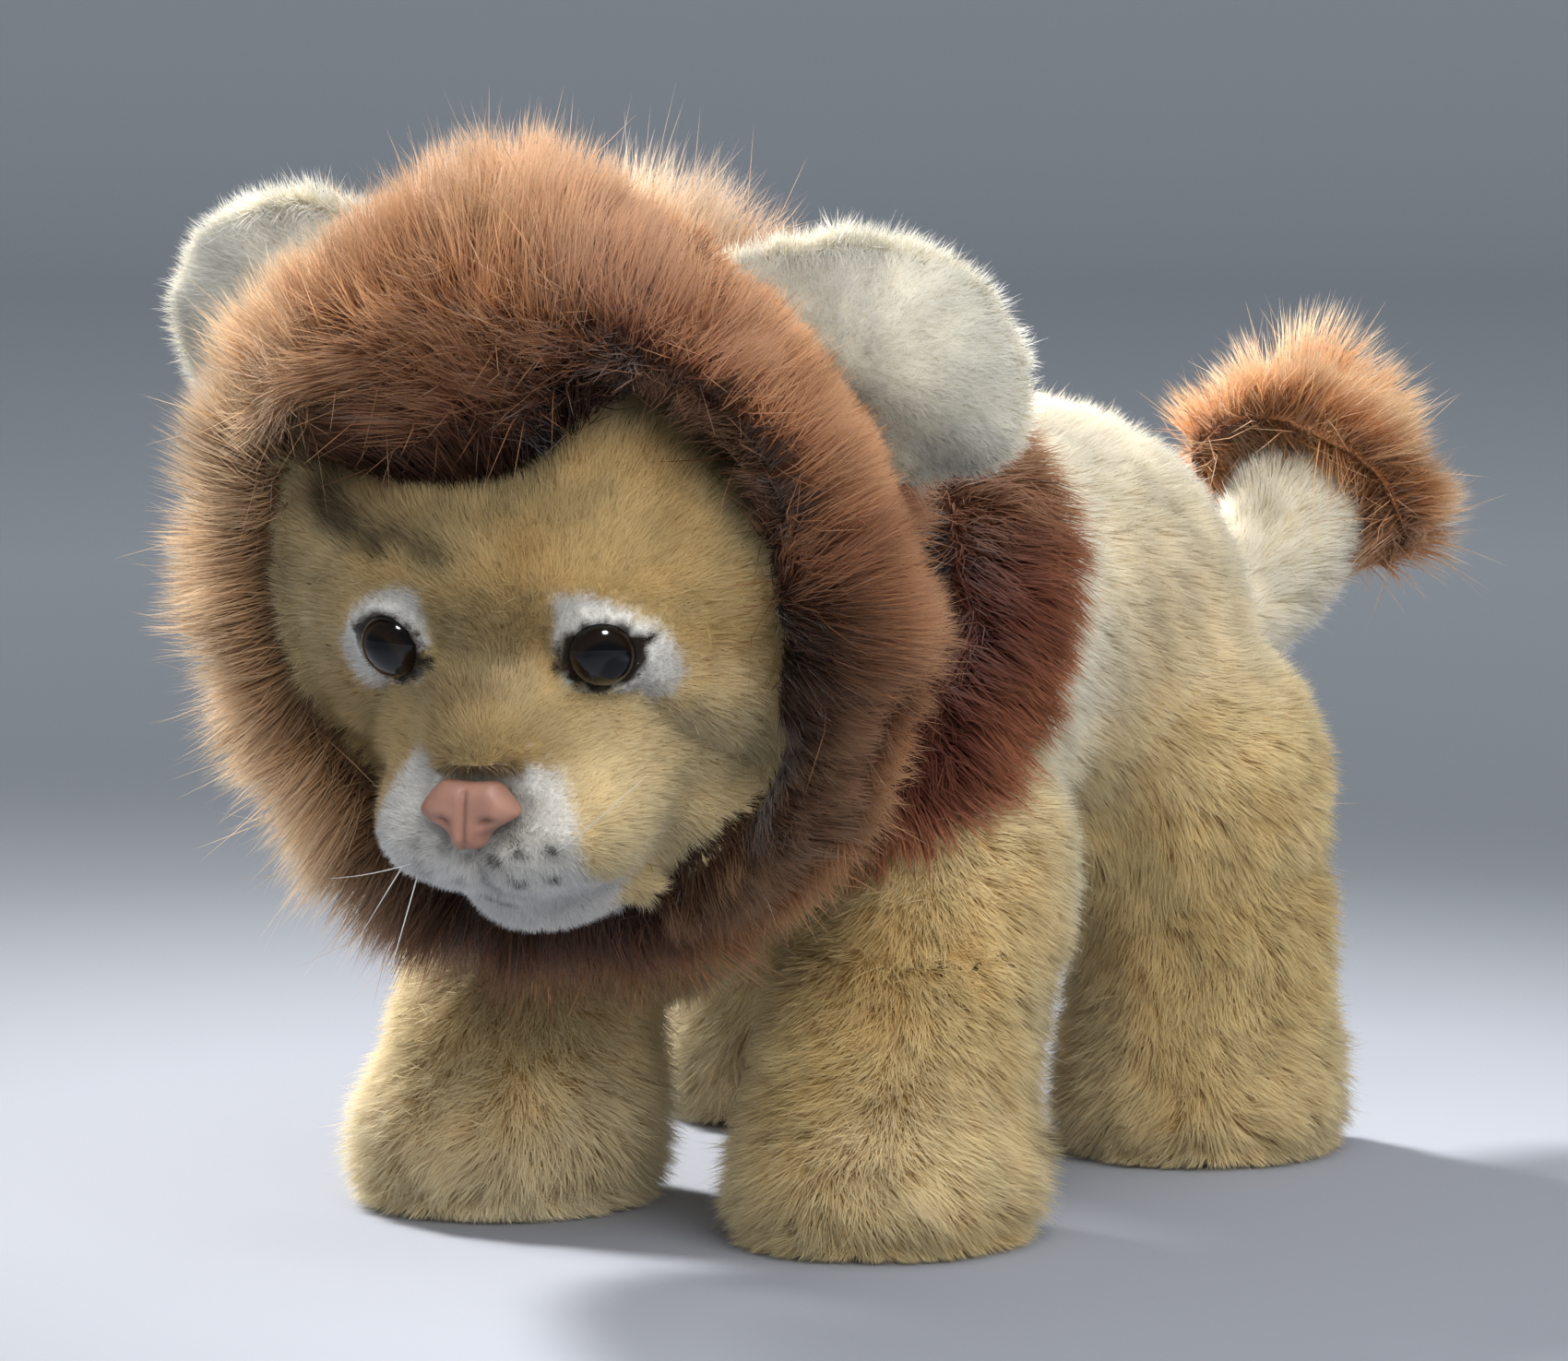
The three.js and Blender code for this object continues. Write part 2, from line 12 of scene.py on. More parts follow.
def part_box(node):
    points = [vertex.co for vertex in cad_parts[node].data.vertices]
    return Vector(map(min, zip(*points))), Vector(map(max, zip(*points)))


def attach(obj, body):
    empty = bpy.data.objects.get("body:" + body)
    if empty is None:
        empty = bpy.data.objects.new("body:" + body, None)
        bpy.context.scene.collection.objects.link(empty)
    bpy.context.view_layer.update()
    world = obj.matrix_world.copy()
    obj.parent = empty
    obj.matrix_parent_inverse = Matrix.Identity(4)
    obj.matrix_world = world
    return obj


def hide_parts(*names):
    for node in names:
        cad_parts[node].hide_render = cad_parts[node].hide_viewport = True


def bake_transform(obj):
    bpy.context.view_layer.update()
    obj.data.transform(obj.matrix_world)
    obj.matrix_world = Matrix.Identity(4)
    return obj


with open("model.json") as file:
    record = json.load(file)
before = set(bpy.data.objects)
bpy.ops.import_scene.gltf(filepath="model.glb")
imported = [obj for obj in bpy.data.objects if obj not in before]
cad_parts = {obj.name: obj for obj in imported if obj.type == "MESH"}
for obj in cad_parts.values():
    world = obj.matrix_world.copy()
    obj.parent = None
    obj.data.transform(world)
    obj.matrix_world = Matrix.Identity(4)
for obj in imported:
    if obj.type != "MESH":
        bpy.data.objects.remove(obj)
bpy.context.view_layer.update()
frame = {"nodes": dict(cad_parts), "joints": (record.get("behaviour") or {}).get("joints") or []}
nodes, joints = frame["nodes"], {j["name"]: j for j in frame["joints"]}
MM = 0.001

# The camera stands 30 degrees to the lion's left and a little above the floor, as in the photograph.
# The small shift holds the lion where the photograph has it in the frame.
neck = np.array(joints["neck_turn"]["pos_m"])
middle = np.array([neck[0], neck[1] + 0.0605, 0.0795])
view_side, view_rise, view_distance = math.radians(30), math.radians(5.5), 1.060
photo_width, pixels_per_mm, sensor_width = 1700, 7.7, 36
backward = np.array([math.sin(view_side) * math.cos(view_rise), -math.cos(view_side) * math.cos(view_rise),
                     math.sin(view_rise)])


def placed(name, data):
    """A new object in the scene for a mesh, a lamp or the camera."""
    obj = bpy.data.objects.new(name, data)
    bpy.context.scene.collection.objects.link(obj)
    return obj


def aimed(name, data, way, distance):
    """A camera or lamp that stands off in this direction and looks at the lion's middle."""
    obj = placed(name, data)
    obj.location = Vector(middle + way * distance)
    obj.rotation_euler = Vector(way).to_track_quat("Z", "Y").to_euler()
    return obj


camera = aimed("camera", bpy.data.cameras.new("camera"), backward, view_distance)
camera.data.sensor_width = sensor_width
camera.data.lens = sensor_width * pixels_per_mm * view_distance / MM / photo_width
camera.data.shift_x, camera.data.shift_y = -73 / photo_width, -72 / photo_width
camera.data.clip_end = 20
bpy.context.scene.camera = camera

# The body: two flanks and a belly panel of short gold-cream pile, sewn inside out, turned and stuffed with
# loose fibre. The cover is drawn in under its pile; the roots of the legs are closed into it.
body_pile_length, body_hair_width, body_hairs_per_mm2 = 5.4, 0.21, 14
legs = ["front_leg_left", "front_leg_right", "rear_leg_left", "rear_leg_right"]
hips = {leg: np.array(joints[f"{leg}_swing"]["pos_m"]) for leg in legs}
leg_top, rump_end = 0.041, joints["tail_swing"]["pos_m"][1] + 0.012


def rgb(red, green, blue):
    """Linear colour from a screen colour of 0 to 255."""
    return (np.array([red, green, blue]) / 255) ** 2.2


def smooth(low, high, value):
    t = np.clip((value - low) / (high - low), 0, 1)
    return t * t * (3 - 2 * t)


def unit(v):
    return v / np.maximum(np.linalg.norm(v, axis=-1, keepdims=True), 1e-12)


def blended(a, b, share):
    share = np.clip(np.asarray(share, float), 0, 1)[:, None]
    return a * (1 - share) + b * share


def patchy(points, size, seed):
    """Smooth noise from 0 to 1 over patches of a size in mm, for uneven dye and filling."""
    lattice = np.random.default_rng(seed).random((32, 32, 32))
    p = points / MM / size
    base = np.floor(p).astype(int)
    f = p - base
    f = f * f * (3 - 2 * f)
    total = np.zeros(len(p))
    for i in (0, 1):
        for j in (0, 1):
            for k in (0, 1):
                share = np.where(i, f[:, 0], 1 - f[:, 0]) * np.where(j, f[:, 1], 1 - f[:, 1]) \
                    * np.where(k, f[:, 2], 1 - f[:, 2])
                total += share * lattice[(base[:, 0] + i) % 32, (base[:, 1] + j) % 32, (base[:, 2] + k) % 32]
    return total


def read(mesh, kind, field):
    """A mesh's points or normals as rows of x, y and z."""
    data = np.empty(len(getattr(mesh, kind)) * 3)
    getattr(mesh, kind).foreach_get(field, data)
    return data.reshape(-1, 3)


def shift(mesh, moves):
    """Move each point of a mesh."""
    mesh.vertices.foreach_set("co", (read(mesh, "vertices", "co") + moves).ravel())
    mesh.update()


def tree_of(mesh):
    return BVHTree.FromPolygons([v.co for v in mesh.vertices], [p.vertices for p in mesh.polygons])


def nearest_node(names):
    """Which of the CAD covers each point of a joined cover belongs to."""
    trees = [tree_of(nodes[n].data) for n in names]

    def which(points):
        return np.array([np.argmin([t.find_nearest(p)[3] for t in trees]) for p in points])
    return which


def stuff(obj, panels, swell, steps=12):
    """Blow the sewn cover up from inside as its filling does, held along the seams between its panels."""
    mesh = obj.data
    co = read(mesh, "vertices", "co")
    panel = nearest_node(panels)(co)
    ends = np.empty(len(mesh.edges) * 2, int)
    mesh.edges.foreach_get("vertices", ends)
    ends = ends.reshape(-1, 2)
    seam = np.unique(ends[panel[ends[:, 0]] != panel[ends[:, 1]]])
    obj.vertex_groups.new(name="seam").add(seam.tolist(), 1, "REPLACE")
    cloth = obj.modifiers.new("cloth", "CLOTH")
    cloth.settings.quality = 4
    cloth.settings.mass = 0.2
    cloth.settings.use_pressure = True
    cloth.settings.uniform_pressure_force = 4
    cloth.settings.effector_weights.gravity = 0
    cloth.settings.vertex_group_mass = "seam"
    for step in range(1, steps + 1):
        bpy.context.scene.frame_set(step)
    swollen = obj.evaluated_get(bpy.context.evaluated_depsgraph_get()).to_mesh()
    out = read(swollen, "vertices", "co") - co
    obj.evaluated_get(bpy.context.evaluated_depsgraph_get()).to_mesh_clear()
    obj.modifiers.clear()
    obj.vertex_groups.clear()
    bpy.context.scene.frame_set(1)
    far = np.linalg.norm(out, axis=1)
    shift(mesh, out * (swell * MM / np.maximum(far, swell * MM))[:, None])


def cover(name, material, sources, voxel, easing, drawn_in, lumps=0.0, seed=1, wads=(), panels=(), swell=0.0):
    """Sewn cloth over its filling: the solids joined to one closed surface, eased and drawn in under the pile."""
    bm = bmesh.new()
    for source in sources:
        bm.from_mesh(nodes[source].data)
    for place in wads:
        bmesh.ops.create_icosphere(bm, subdivisions=3, radius=1, matrix=place)
    bmesh.ops.remove_doubles(bm, verts=bm.verts, dist=1e-6)
    mesh = bpy.data.meshes.new(name)
    bm.to_mesh(mesh)
    bm.free()
    obj = placed(name, mesh)
    remesh = obj.modifiers.new("remesh", "REMESH")
    remesh.mode, remesh.voxel_size = "VOXEL", voxel * MM
    joined = bpy.data.meshes.new_from_object(obj.evaluated_get(bpy.context.evaluated_depsgraph_get()))
    obj.modifiers.clear()
    bm = bmesh.new()
    bm.from_mesh(joined)
    bpy.data.meshes.remove(joined)
    seen, islands = set(), []
    for first in bm.verts:
        if first not in seen:
            seen.add(first)
            island = [first]
            for v in island:
                fresh = {e.other_vert(v) for e in v.link_edges} - seen
                seen |= fresh
                island += fresh
            islands.append(island)
    kept = set(max(islands, key=len))
    bmesh.ops.delete(bm, geom=[v for v in bm.verts if v not in kept], context="VERTS")
    for _ in range(easing):
        bmesh.ops.smooth_vert(bm, verts=bm.verts, factor=0.5, use_axis_x=True, use_axis_y=True, use_axis_z=True)
    bmesh.ops.recalc_face_normals(bm, faces=bm.faces)
    bm.to_mesh(mesh)
    bm.free()
    if swell:
        stuff(obj, panels, swell)
    co, normal = read(mesh, "vertices", "co"), read(mesh, "vertex_normals", "vector")
    depth = drawn_in(co, normal) if callable(drawn_in) else np.full(len(co), float(drawn_in))
    if lumps:
        depth = depth + lumps * (1 - 2 * patchy(co, 16, seed))
    mesh.shade_smooth()
    shift(mesh, -normal * depth[:, None] * MM)
    mesh.materials.append(material)
    return obj


def paint(mesh, dye):
    """Store a dye at each point of a mesh, where its material reads it."""
    colour = np.concatenate([dye, np.ones((len(dye), 1))], 1).astype(np.float32)
    mesh.attributes.new("dye", "FLOAT_COLOR", "POINT").data.foreach_set("color", colour.ravel())


def pile(name, base, material, hairs_per_mm2, style, seed, keep, bends=1, clump=0.35, clump_mm=2.2):
    """Pile rooted on a cover: flat tapering hairs that lean, sweep and draw together in clumps, as style says."""
    root_depth, floor_gap, taper = 0.0004, 0.0003, 0.45
    rng = np.random.default_rng(seed)
    mesh = base.data
    mesh.calc_loop_triangles()
    corners = np.empty(len(mesh.loop_triangles) * 3, int)
    mesh.loop_triangles.foreach_get("vertices", corners)
    corners = corners.reshape(-1, 3)
    co, vertex_normal = read(mesh, "vertices", "co"), read(mesh, "vertex_normals", "vector")
    a, b, c = (co[corners[:, i]] for i in range(3))
    weight = np.linalg.norm(np.cross(b - a, c - a), axis=1) / 2 / MM ** 2 * keep((a + b + c) / 3)
    count = int(weight.sum() * hairs_per_mm2)
    pick = corners[np.searchsorted(np.cumsum(weight) / weight.sum(), rng.random(count)).clip(0, len(corners) - 1)]
    u, v = rng.random(count), rng.random(count)
    over = u + v > 1
    u[over], v[over] = 1 - u[over], 1 - v[over]
    shares = np.stack([1 - u - v, u, v], 1)[:, :, None]
    root, normal = (co[pick] * shares).sum(1), unit((vertex_normal[pick] * shares).sum(1))
    s = dict(curl=0, loose=0.03) | style(root, normal, rng)
    loose = rng.random(count) < s["loose"]
    s["stray"] = (s["stray"] * (1 + 1.8 * loose))[:, None]
    length = s["length"] * MM * (1 + 0.2 * loose)
    comb = unit(s["comb"] - normal * (s["comb"] * normal).sum(1)[:, None])
    lift = (np.asarray(s["lift"]) * np.ones(count))[:, None]
    start = unit(normal * lift + comb * (1 - lift) + rng.normal(0, s["stray"], (count, 3)))
    end = unit(start + comb * s["bend"] + s["curl"] - np.array([0, 0, 1]) * s["droop"]
               + rng.normal(0, s["stray"], (count, 3)))
    leaders = rng.choice(count, max(4, int(count / hairs_per_mm2 / clump_mm ** 2)), replace=False)
    tree = KDTree(len(leaders))
    for i, leader in enumerate(leaders):
        tree.insert(root[leader], i)
    tree.balance()
    leader = leaders[[tree.find(p)[1] for p in root]]
    reach = root + length[:, None] * (start + end) / 2
    pull = (reach[leader] - reach) * (clump * (0.5 + rng.random(count)) * ~loose)[:, None]
    steps = np.linspace(0, 1, bends + 1)
    rows = []
    for t in steps:
        row = root - normal * root_depth + length[:, None] * (start * t + (end - start) * t * t / 2) + pull * t * t
        row[:, 2] = np.maximum(row[:, 2], floor_gap)
        rows.append(row)
    along = unit(rows[-1] - rows[0])
    flat = unit(np.cross(along, normal) + rng.normal(0, 0.5, (count, 3)))
    flat = unit(flat - along * (flat * along).sum(1)[:, None])
    flat *= np.where((np.cross(flat, along) * normal).sum(1) < 0, -1, 1)[:, None]
    half = np.asarray(s["width"]) * np.ones(count) * MM / 2
    per = 2 * bends + 1
    verts = np.empty((count, per, 3))
    at = np.empty(per)
    for i in range(bends):
        side = flat * (half * (1 - taper * steps[i]))[:, None]
        verts[:, 2 * i], verts[:, 2 * i + 1] = rows[i] - side, rows[i] + side
        at[2 * i:2 * i + 2] = steps[i]
    verts[:, -1], at[-1] = rows[-1], 1
    first = (np.arange(count) * per)[:, None]
    loops = [first + np.array([2 * i, 2 * i + 1, 2 * i + 3, 2 * i + 2]) for i in range(bends - 1)]
    loops = np.concatenate(loops + [first + np.array([per - 3, per - 2, per - 1])], 1).ravel()
    sizes = np.tile([4] * (bends - 1) + [3], count)
    hair = bpy.data.meshes.new(name)
    hair.vertices.add(count * per)
    hair.vertices.foreach_set("co", verts.ravel())
    hair.loops.add(len(loops))
    hair.loops.foreach_set("vertex_index", loops.astype(np.int32))
    hair.polygons.add(len(sizes))
    hair.polygons.foreach_set("loop_start", (np.cumsum(sizes) - sizes).astype(np.int32))
    hair.update(calc_edges=True)
    cells = math.ceil(math.sqrt(count))
    cell = np.stack([np.arange(count) % cells, np.arange(count) // cells], 1) / cells
    inner = np.stack([np.where(np.arange(per) == per - 1, 0.5, 0.2 + 0.6 * (np.arange(per) % 2)), 0.1 + 0.8 * at], 1)
    uv = (cell[:, None, :] + inner[None] / cells).reshape(-1, 2)[loops]
    hair.uv_layers.new(name="OFBake").data.foreach_set("uv", uv.astype(np.float32).ravel())
    lower, upper = np.clip(1 - 2 * at, 0, 1)[None, :, None], np.clip(2 * at - 1, 0, 1)[None, :, None]
    at_root, halfway, at_tip = (dye[:, None] for dye in s["dyes"])
    dye = at_root * lower + halfway * (1 - lower - upper) + at_tip * upper
    dye = np.clip(dye * (1 + rng.normal(0, s["vary"], (count, 1, 1))), 0, 1)
    paint(hair, dye.reshape(-1, 3))
    facing = np.cross(flat, along)
    hair.normals_split_custom_set_from_vertices(np.repeat(unit(facing * 0.3 + normal), per, 0).astype(np.float32))
    hair.materials.append(material)
    return placed(name, hair)


def wire(node, **inputs):
    """Set a shader node's sockets, named with _ for a space, to values or to other nodes' outputs."""
    for name, value in inputs.items():
        socket = node.inputs[name.replace("_", " ")]
        if isinstance(value, bpy.types.NodeSocket):
            node.id_data.links.new(value, socket)
        else:
            socket.default_value = value
    return node


def add_node(tree, kind, **inputs):
    return wire(tree.nodes.new("ShaderNode" + kind), **inputs)


def new_material(name, **inputs):
    """A material, its node tree and its principled shader with these sockets set."""
    material = bpy.data.materials.new(name)
    material.use_nodes = True
    return material, material.node_tree, wire(material.node_tree.nodes["Principled BSDF"], **inputs)


def noise(tree, scale, **inputs):
    place = add_node(tree, "TexCoord").outputs["Object"]
    return add_node(tree, "TexNoise", Scale=scale, Vector=place, **inputs).outputs["Fac"]


def attribute(tree, name, output):
    node = add_node(tree, "Attribute")
    node.attribute_name = name
    return node.outputs[output]


def pile_material(name, through, roughness, gloss):
    """Acrylic pile: dyed from root to tip, patchy, a little glossy, and lit through where light stands behind."""
    material, tree, principled = new_material(name, Roughness=roughness, Specular_IOR_Level=gloss, Sheen_Weight=0.25,
                                              Sheen_Roughness=0.4)
    spread = add_node(tree, "MapRange", Value=noise(tree, 110, Detail=3), From_Min=0.3, From_Max=0.7, To_Min=0.84,
                      To_Max=1.12)
    tone = add_node(tree, "VectorMath")
    tone.operation = "SCALE"
    tree.links.new(attribute(tree, "dye", "Color"), tone.inputs[0])
    colour = wire(tone, Scale=spread.outputs["Result"]).outputs["Vector"]
    both = add_node(tree, "MixShader", Fac=through)
    tree.links.new(wire(principled, Base_Color=colour).outputs["BSDF"], both.inputs[1])
    tree.links.new(add_node(tree, "BsdfTranslucent", Color=colour).outputs["BSDF"], both.inputs[2])
    wire(tree.nodes["Material Output"], Surface=both.outputs["Shader"])
    return material


def ramp(tree, value, *stops):
    """Colours along a value; each stop is a position and a colour."""
    node = add_node(tree, "ValToRGB", Fac=value)
    for i, (position, colour) in enumerate(stops):
        stop = node.color_ramp.elements[i] if i < 2 else node.color_ramp.elements.new(position)
        stop.position, stop.color = position, (*colour, 1)
    return node.outputs["Color"]


def mixed(tree, share, a, b, way="MIX"):
    """One colour laid over another in a shader."""
    node = tree.nodes.new("ShaderNodeMix")
    node.data_type, node.blend_type = "RGBA", way
    return wire(node, Factor=share, A=a, B=b).outputs["Result"]


def backing_material(name, colour=None):
    """The knitted cloth that the pile stands on: fine loops, darker between them, unevenly dyed. Where no colour is
    given, it takes the dye painted on the cover."""
    base = np.ones(3) if colour is None else colour
    material, tree, principled = new_material(name, Roughness=0.95, Sheen_Weight=0.2, Specular_IOR_Level=0.1)
    place = add_node(tree, "TexCoord").outputs["Object"]
    knit = add_node(tree, "TexVoronoi", Scale=900, Vector=place).outputs["Distance"]
    cloth = mixed(tree, noise(tree, 60), ramp(tree, knit, (0, base * 0.75), (0.6, base)), (*base * 0.85, 1))
    if colour is None:
        cloth = mixed(tree, 1, cloth, attribute(tree, "dye", "Color"), "MULTIPLY")
    wire(principled, Base_Color=cloth)
    return material


gold_pile = pile_material("gold pile", 0.42, 0.6, 0.3)
gold_backing = backing_material("gold backing", rgb(168, 138, 86))
leg_nodes = [f"{leg}_{part}" for leg in legs for part in ("outer_panel", "inner_panel", "sole", "filling")]
torso_panels = ["flank_left", "flank_right", "belly_panel", "collar_left", "collar_right"]
body = cover("body_cover", backing_material("dyed backing"),
             torso_panels + ["body_filling", "tail_filling"] + leg_nodes, 2.4, 10,
             lambda co, normal: 3.1 - 1.6 * smooth(0.5, 0.9, -normal[:, 2]), lumps=0.8,
             panels=torso_panels + leg_nodes, swell=0.9)


def collar_seam(points):
    """The curved seam that joins the collar's longer pile to the flanks and the leg tops: its y in mm by height."""
    return np.interp(points[:, 2] / MM, (46, 52, 58, 66, 80, 100, 116), (-70, -54, -42, -29, -19, -10, -5))


def in_collar(points):
    """True ahead of that seam, which the pile makes a little ragged."""
    return points[:, 1] / MM + 3 * (patchy(points, 6, 4) - 0.5) < collar_seam(points)


def over_a_leg(points):
    """True beside and under each hip, where the leg's own cover takes over."""
    found = np.zeros(len(points), bool)
    for leg in legs:
        away = points - hips[leg]
        found |= (np.abs(away[:, 0]) < 0.027) & (np.abs(away[:, 1] + 0.006) < 0.036)
    return found


bm = bmesh.new()
bm.from_mesh(body.data)
bm.faces.ensure_lookup_table()
centres = np.array([f.calc_center_median() for f in bm.faces])
gone = ((centres[:, 2] < leg_top - 0.003) & over_a_leg(centres)) | (centres[:, 1] > rump_end)
bmesh.ops.delete(bm, geom=[f for f, g in zip(bm.faces, gone) if g], context="FACES")
bmesh.ops.holes_fill(bm, edges=[e for e in bm.edges if e.is_boundary], sides=0)
bm.to_mesh(body.data)
bm.free()
co = read(body.data, "vertices", "co")
paint(body.data, np.where(in_collar(co)[:, None], rgb(84, 46, 32), rgb(186, 156, 102)))
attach(body, "torso")
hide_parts("flank_left", "flank_right", "belly_panel", "collar_left", "collar_right", "body_filling")

which_panel = nearest_node(torso_panels + leg_nodes)


def bell(distance, width):
    """1 at no distance, falling to almost nothing at twice the width."""
    return np.exp(-(distance / width) ** 2)


def three_dyes(second, third, *rows):
    """Root, middle and tip colours: in each row the second and the third dye lie over the first by these shares."""
    return [blended(blended(rgb(*a), rgb(*b), second), rgb(*c), third) for a, b, c in rows]


def plush_dyes_and_painted_light(root):
    """Root, middle and tip colours of the short plush, with painted light: paler on the top and back, where the
    light from behind falls, a painted highlight behind the shoulders, and deeper gold lower down as painted shade;
    paler again at the paws and low on the far side.
    """
    height = root[:, 2] / MM
    # Painted shade: below the back the plush is dyed deeper gold.
    low = smooth(85, 41, height)
    # Painted highlight: paler behind the shoulders, where the light from behind catches them.
    painted_shoulder_highlight = bell(root[:, 1] / MM + 14, 13) * smooth(14, 30, np.abs(root[:, 0] / MM)) * smooth(8, 34, height)
    # Painted light: paler high on the back, where the light from behind falls.
    pale = np.clip(0.8 * smooth(60, 105, height) + 0.9 * painted_shoulder_highlight + 0.5 * (patchy(root, 12, 7) - 0.4)
                   + 0.25 * smooth(36, 8, height) + 0.3 * low * smooth(0, -20, root[:, 0] / MM), 0, 1)
    gold = np.clip(patchy(root, 6.5, 8) * 1.55 - 0.52, 0, 1)
    back = three_dyes(gold, pale, ((212, 184, 130), (198, 164, 106), (232, 218, 184)),
                      ((230, 208, 158), (218, 188, 132), (242, 233, 206)),
                      ((244, 232, 196), (236, 216, 170), (252, 248, 236)))
    below = three_dyes(gold, pale, ((206, 174, 112), (190, 153, 91), (222, 200, 152)),
                       ((224, 196, 136), (210, 176, 113), (236, 218, 172)),
                       ((242, 226, 176), (231, 207, 151), (250, 243, 218)))
    return [blended(a, b, low) for a, b in zip(back, below)]


def body_style(root, normal, rng):
    """Pile combed back along the body and down its sides."""
    n, height = len(root), root[:, 2] / MM
    sweep = patchy(root, 14, 5) - 0.5
    comb = np.stack([sweep * 0.6, 0.25 + 0.75 * smooth(41, 70, height),
                     -0.75 + sweep - 0.4 * smooth(80, 40, height)], 1)
    return dict(length=(body_pile_length + 0.4) * rng.uniform(0.6, 1.15, n), comb=comb, width=body_hair_width,
                lift=0.46 + 0.20 * patchy(root, 7, 9), bend=0.5, droop=0.1, stray=0.19, vary=0.06,
                dyes=plush_dyes_and_painted_light(root))


def torso_part(*panels):
    """Where these panels show on the torso; each flank takes in the tops of its legs."""
    wanted = [torso_panels.index(p) for p in panels]
    hip_side = {"flank_left": 1, "flank_right": -1}.get(panels[0], 0)
    gathered = panels[0].startswith("collar")

    def keep(points):
        panel, ahead = which_panel(points), in_collar(points)
        hip = (panel >= len(torso_panels)) & (gathered | (np.sign(points[:, 0] - neck[0]) == hip_side))
        shown = (np.isin(panel, wanted) | hip) & (ahead if gathered else ~ahead)
        if gathered:
            shown |= (panel <= 2) & ahead
        else:
            shown |= np.isin(panel, (3, 4)) & ~ahead & (panel - 3 == (hip_side < 0)) & (hip_side != 0)
        above = ~((points[:, 2] < leg_top) & over_a_leg(points))
        return shown & (np.linalg.norm(points - neck, axis=1) > 0.036) & above & (points[:, 1] < rump_end)
    return keep


for i, panel in enumerate(("flank_left", "flank_right", "belly_panel")):
    coat = pile(panel + "_pile", body, gold_pile, body_hairs_per_mm2, body_style, 20 + i, torso_part(panel), clump=0.3,
                clump_mm=2.4)
    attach(coat, "torso")

# The head's frame turns, nods and tilts with the head. Places on the face are read in it, in mm:
# across to the lion's left, ahead of the skull's middle, and up. The mane's opening is an outline in it.
head_axes = np.array(Matrix.Rotation(math.radians(10), 3, "Z") @ Matrix.Rotation(math.radians(22), 3, "X")
                     @ Matrix.Rotation(math.radians(0.5), 3, "Y"))
skull = neck + head_axes @ np.array([0, -14.5, 5]) * MM
opening_width, opening_top, opening_bottom = 70, 33, 41
opening_shares = [(0, 1), (0.2, 1), (0.3, 1), (0.52, 1), (0.9, 1), (1, 0.62), (1, 0), (1, -0.6), (0.62, -1), (0, -1)]


def in_head(points):
    q = (points - skull) @ head_axes / MM
    return q[..., 0], -q[..., 1], q[..., 2]


def head_way(across, ahead, up):
    """A move on the head, in mm, as a move in the scene."""
    return head_axes @ (np.array([across, -ahead, up]) * MM)


def out_of_head(across, ahead, up):
    return skull + head_way(across, ahead, up)


outline = np.array([(x * opening_width / 2, z * (opening_top if z > 0 else opening_bottom)) for x, z in opening_shares])
curve = []
for i in range(0, 9, 3):
    t = np.linspace(0, 1, 20)[:, None]
    a, b, c, d = outline[i:i + 4]
    curve.append((1 - t) ** 3 * a + 3 * t * (1 - t) ** 2 * b + 3 * t * t * (1 - t) * c + t ** 3 * d)
curve = np.concatenate(curve)
curve_turn, curve_radius = np.arctan2(curve[:, 0], curve[:, 1]), np.hypot(curve[:, 0], curve[:, 1])


def beyond_opening(across, up):
    """How far a point is outside the mane's opening and its dip over the brow, in mm; negative on the face."""
    hairline = np.interp(across, (-32, -28, -16, -7, 0, 4, 8, 11, 14.5, 19, 23.5, 26.5, 29.5, 32, 36),
                         (24, 17.5, 18.5, 19, 19.5, 20.5, 23, 27, 30.5, 28.5, 25, 21, 16.5, 11, 0))
    round_face = np.hypot(across, up) - np.interp(np.arctan2(np.abs(across), up), curve_turn, curve_radius)
    return np.maximum(round_face, up - hairline)


# The collar: two panels of longer red-brown pile sewn to the body behind the mane. Its hairs lie back over the
# seam to the flanks, and it is palest along its top, where the mane's light hair meets it.
long_pile = pile_material("long mane pile", 0.38, 0.55, 0.3)


def collar_style(root, normal, rng):
    """Pile combed back and down, paler by the seam behind it."""
    n = len(root)
    high = smooth(88, 125, root[:, 2] / MM)
    behind = smooth(14, 1, collar_seam(root) - root[:, 1] / MM + 10 * (patchy(root, 7, 12) - 0.5))
    comb = np.stack([(patchy(root, 8, 11) - 0.5) * 1.6, np.full(n, 0.8),
                     -0.7 - 0.4 * (1 - high) + (patchy(root, 7, 13) - 0.5)], 1)
    return dict(length=rng.uniform(8, 12, n), comb=comb, width=0.22, lift=0.5, bend=0.45, droop=0.15, stray=0.2,
                vary=0.09, dyes=three_dyes(behind, high, ((64, 32, 24), (64, 32, 24), (156, 104, 64)),
                                           ((96, 52, 39), (140, 84, 58), (214, 165, 110)),
                                           ((128, 76, 57), (186, 126, 90), (246, 220, 180))))


collar = pile("collar_pile", body, long_pile, 6, collar_style, 31, torso_part("collar_left", "collar_right"), bends=2,
              clump=0.45, clump_mm=3.4)
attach(collar, "torso")

# The legs: each an outer and an inner panel and a sole round a filling.


def leg_depth(co, normal):
    """Drawn in under the pile, tucked in round the sole and let into the body above."""
    tuck = 2.4 * smooth(7, 0.5, co[:, 2] / MM) ** 2 * smooth(0.9, 0.4, -normal[:, 2])
    return 3.2 - 2.8 * smooth(0.6, 0.95, -normal[:, 2]) + tuck + 2.5 * smooth(0.038, 0.047, co[:, 2])


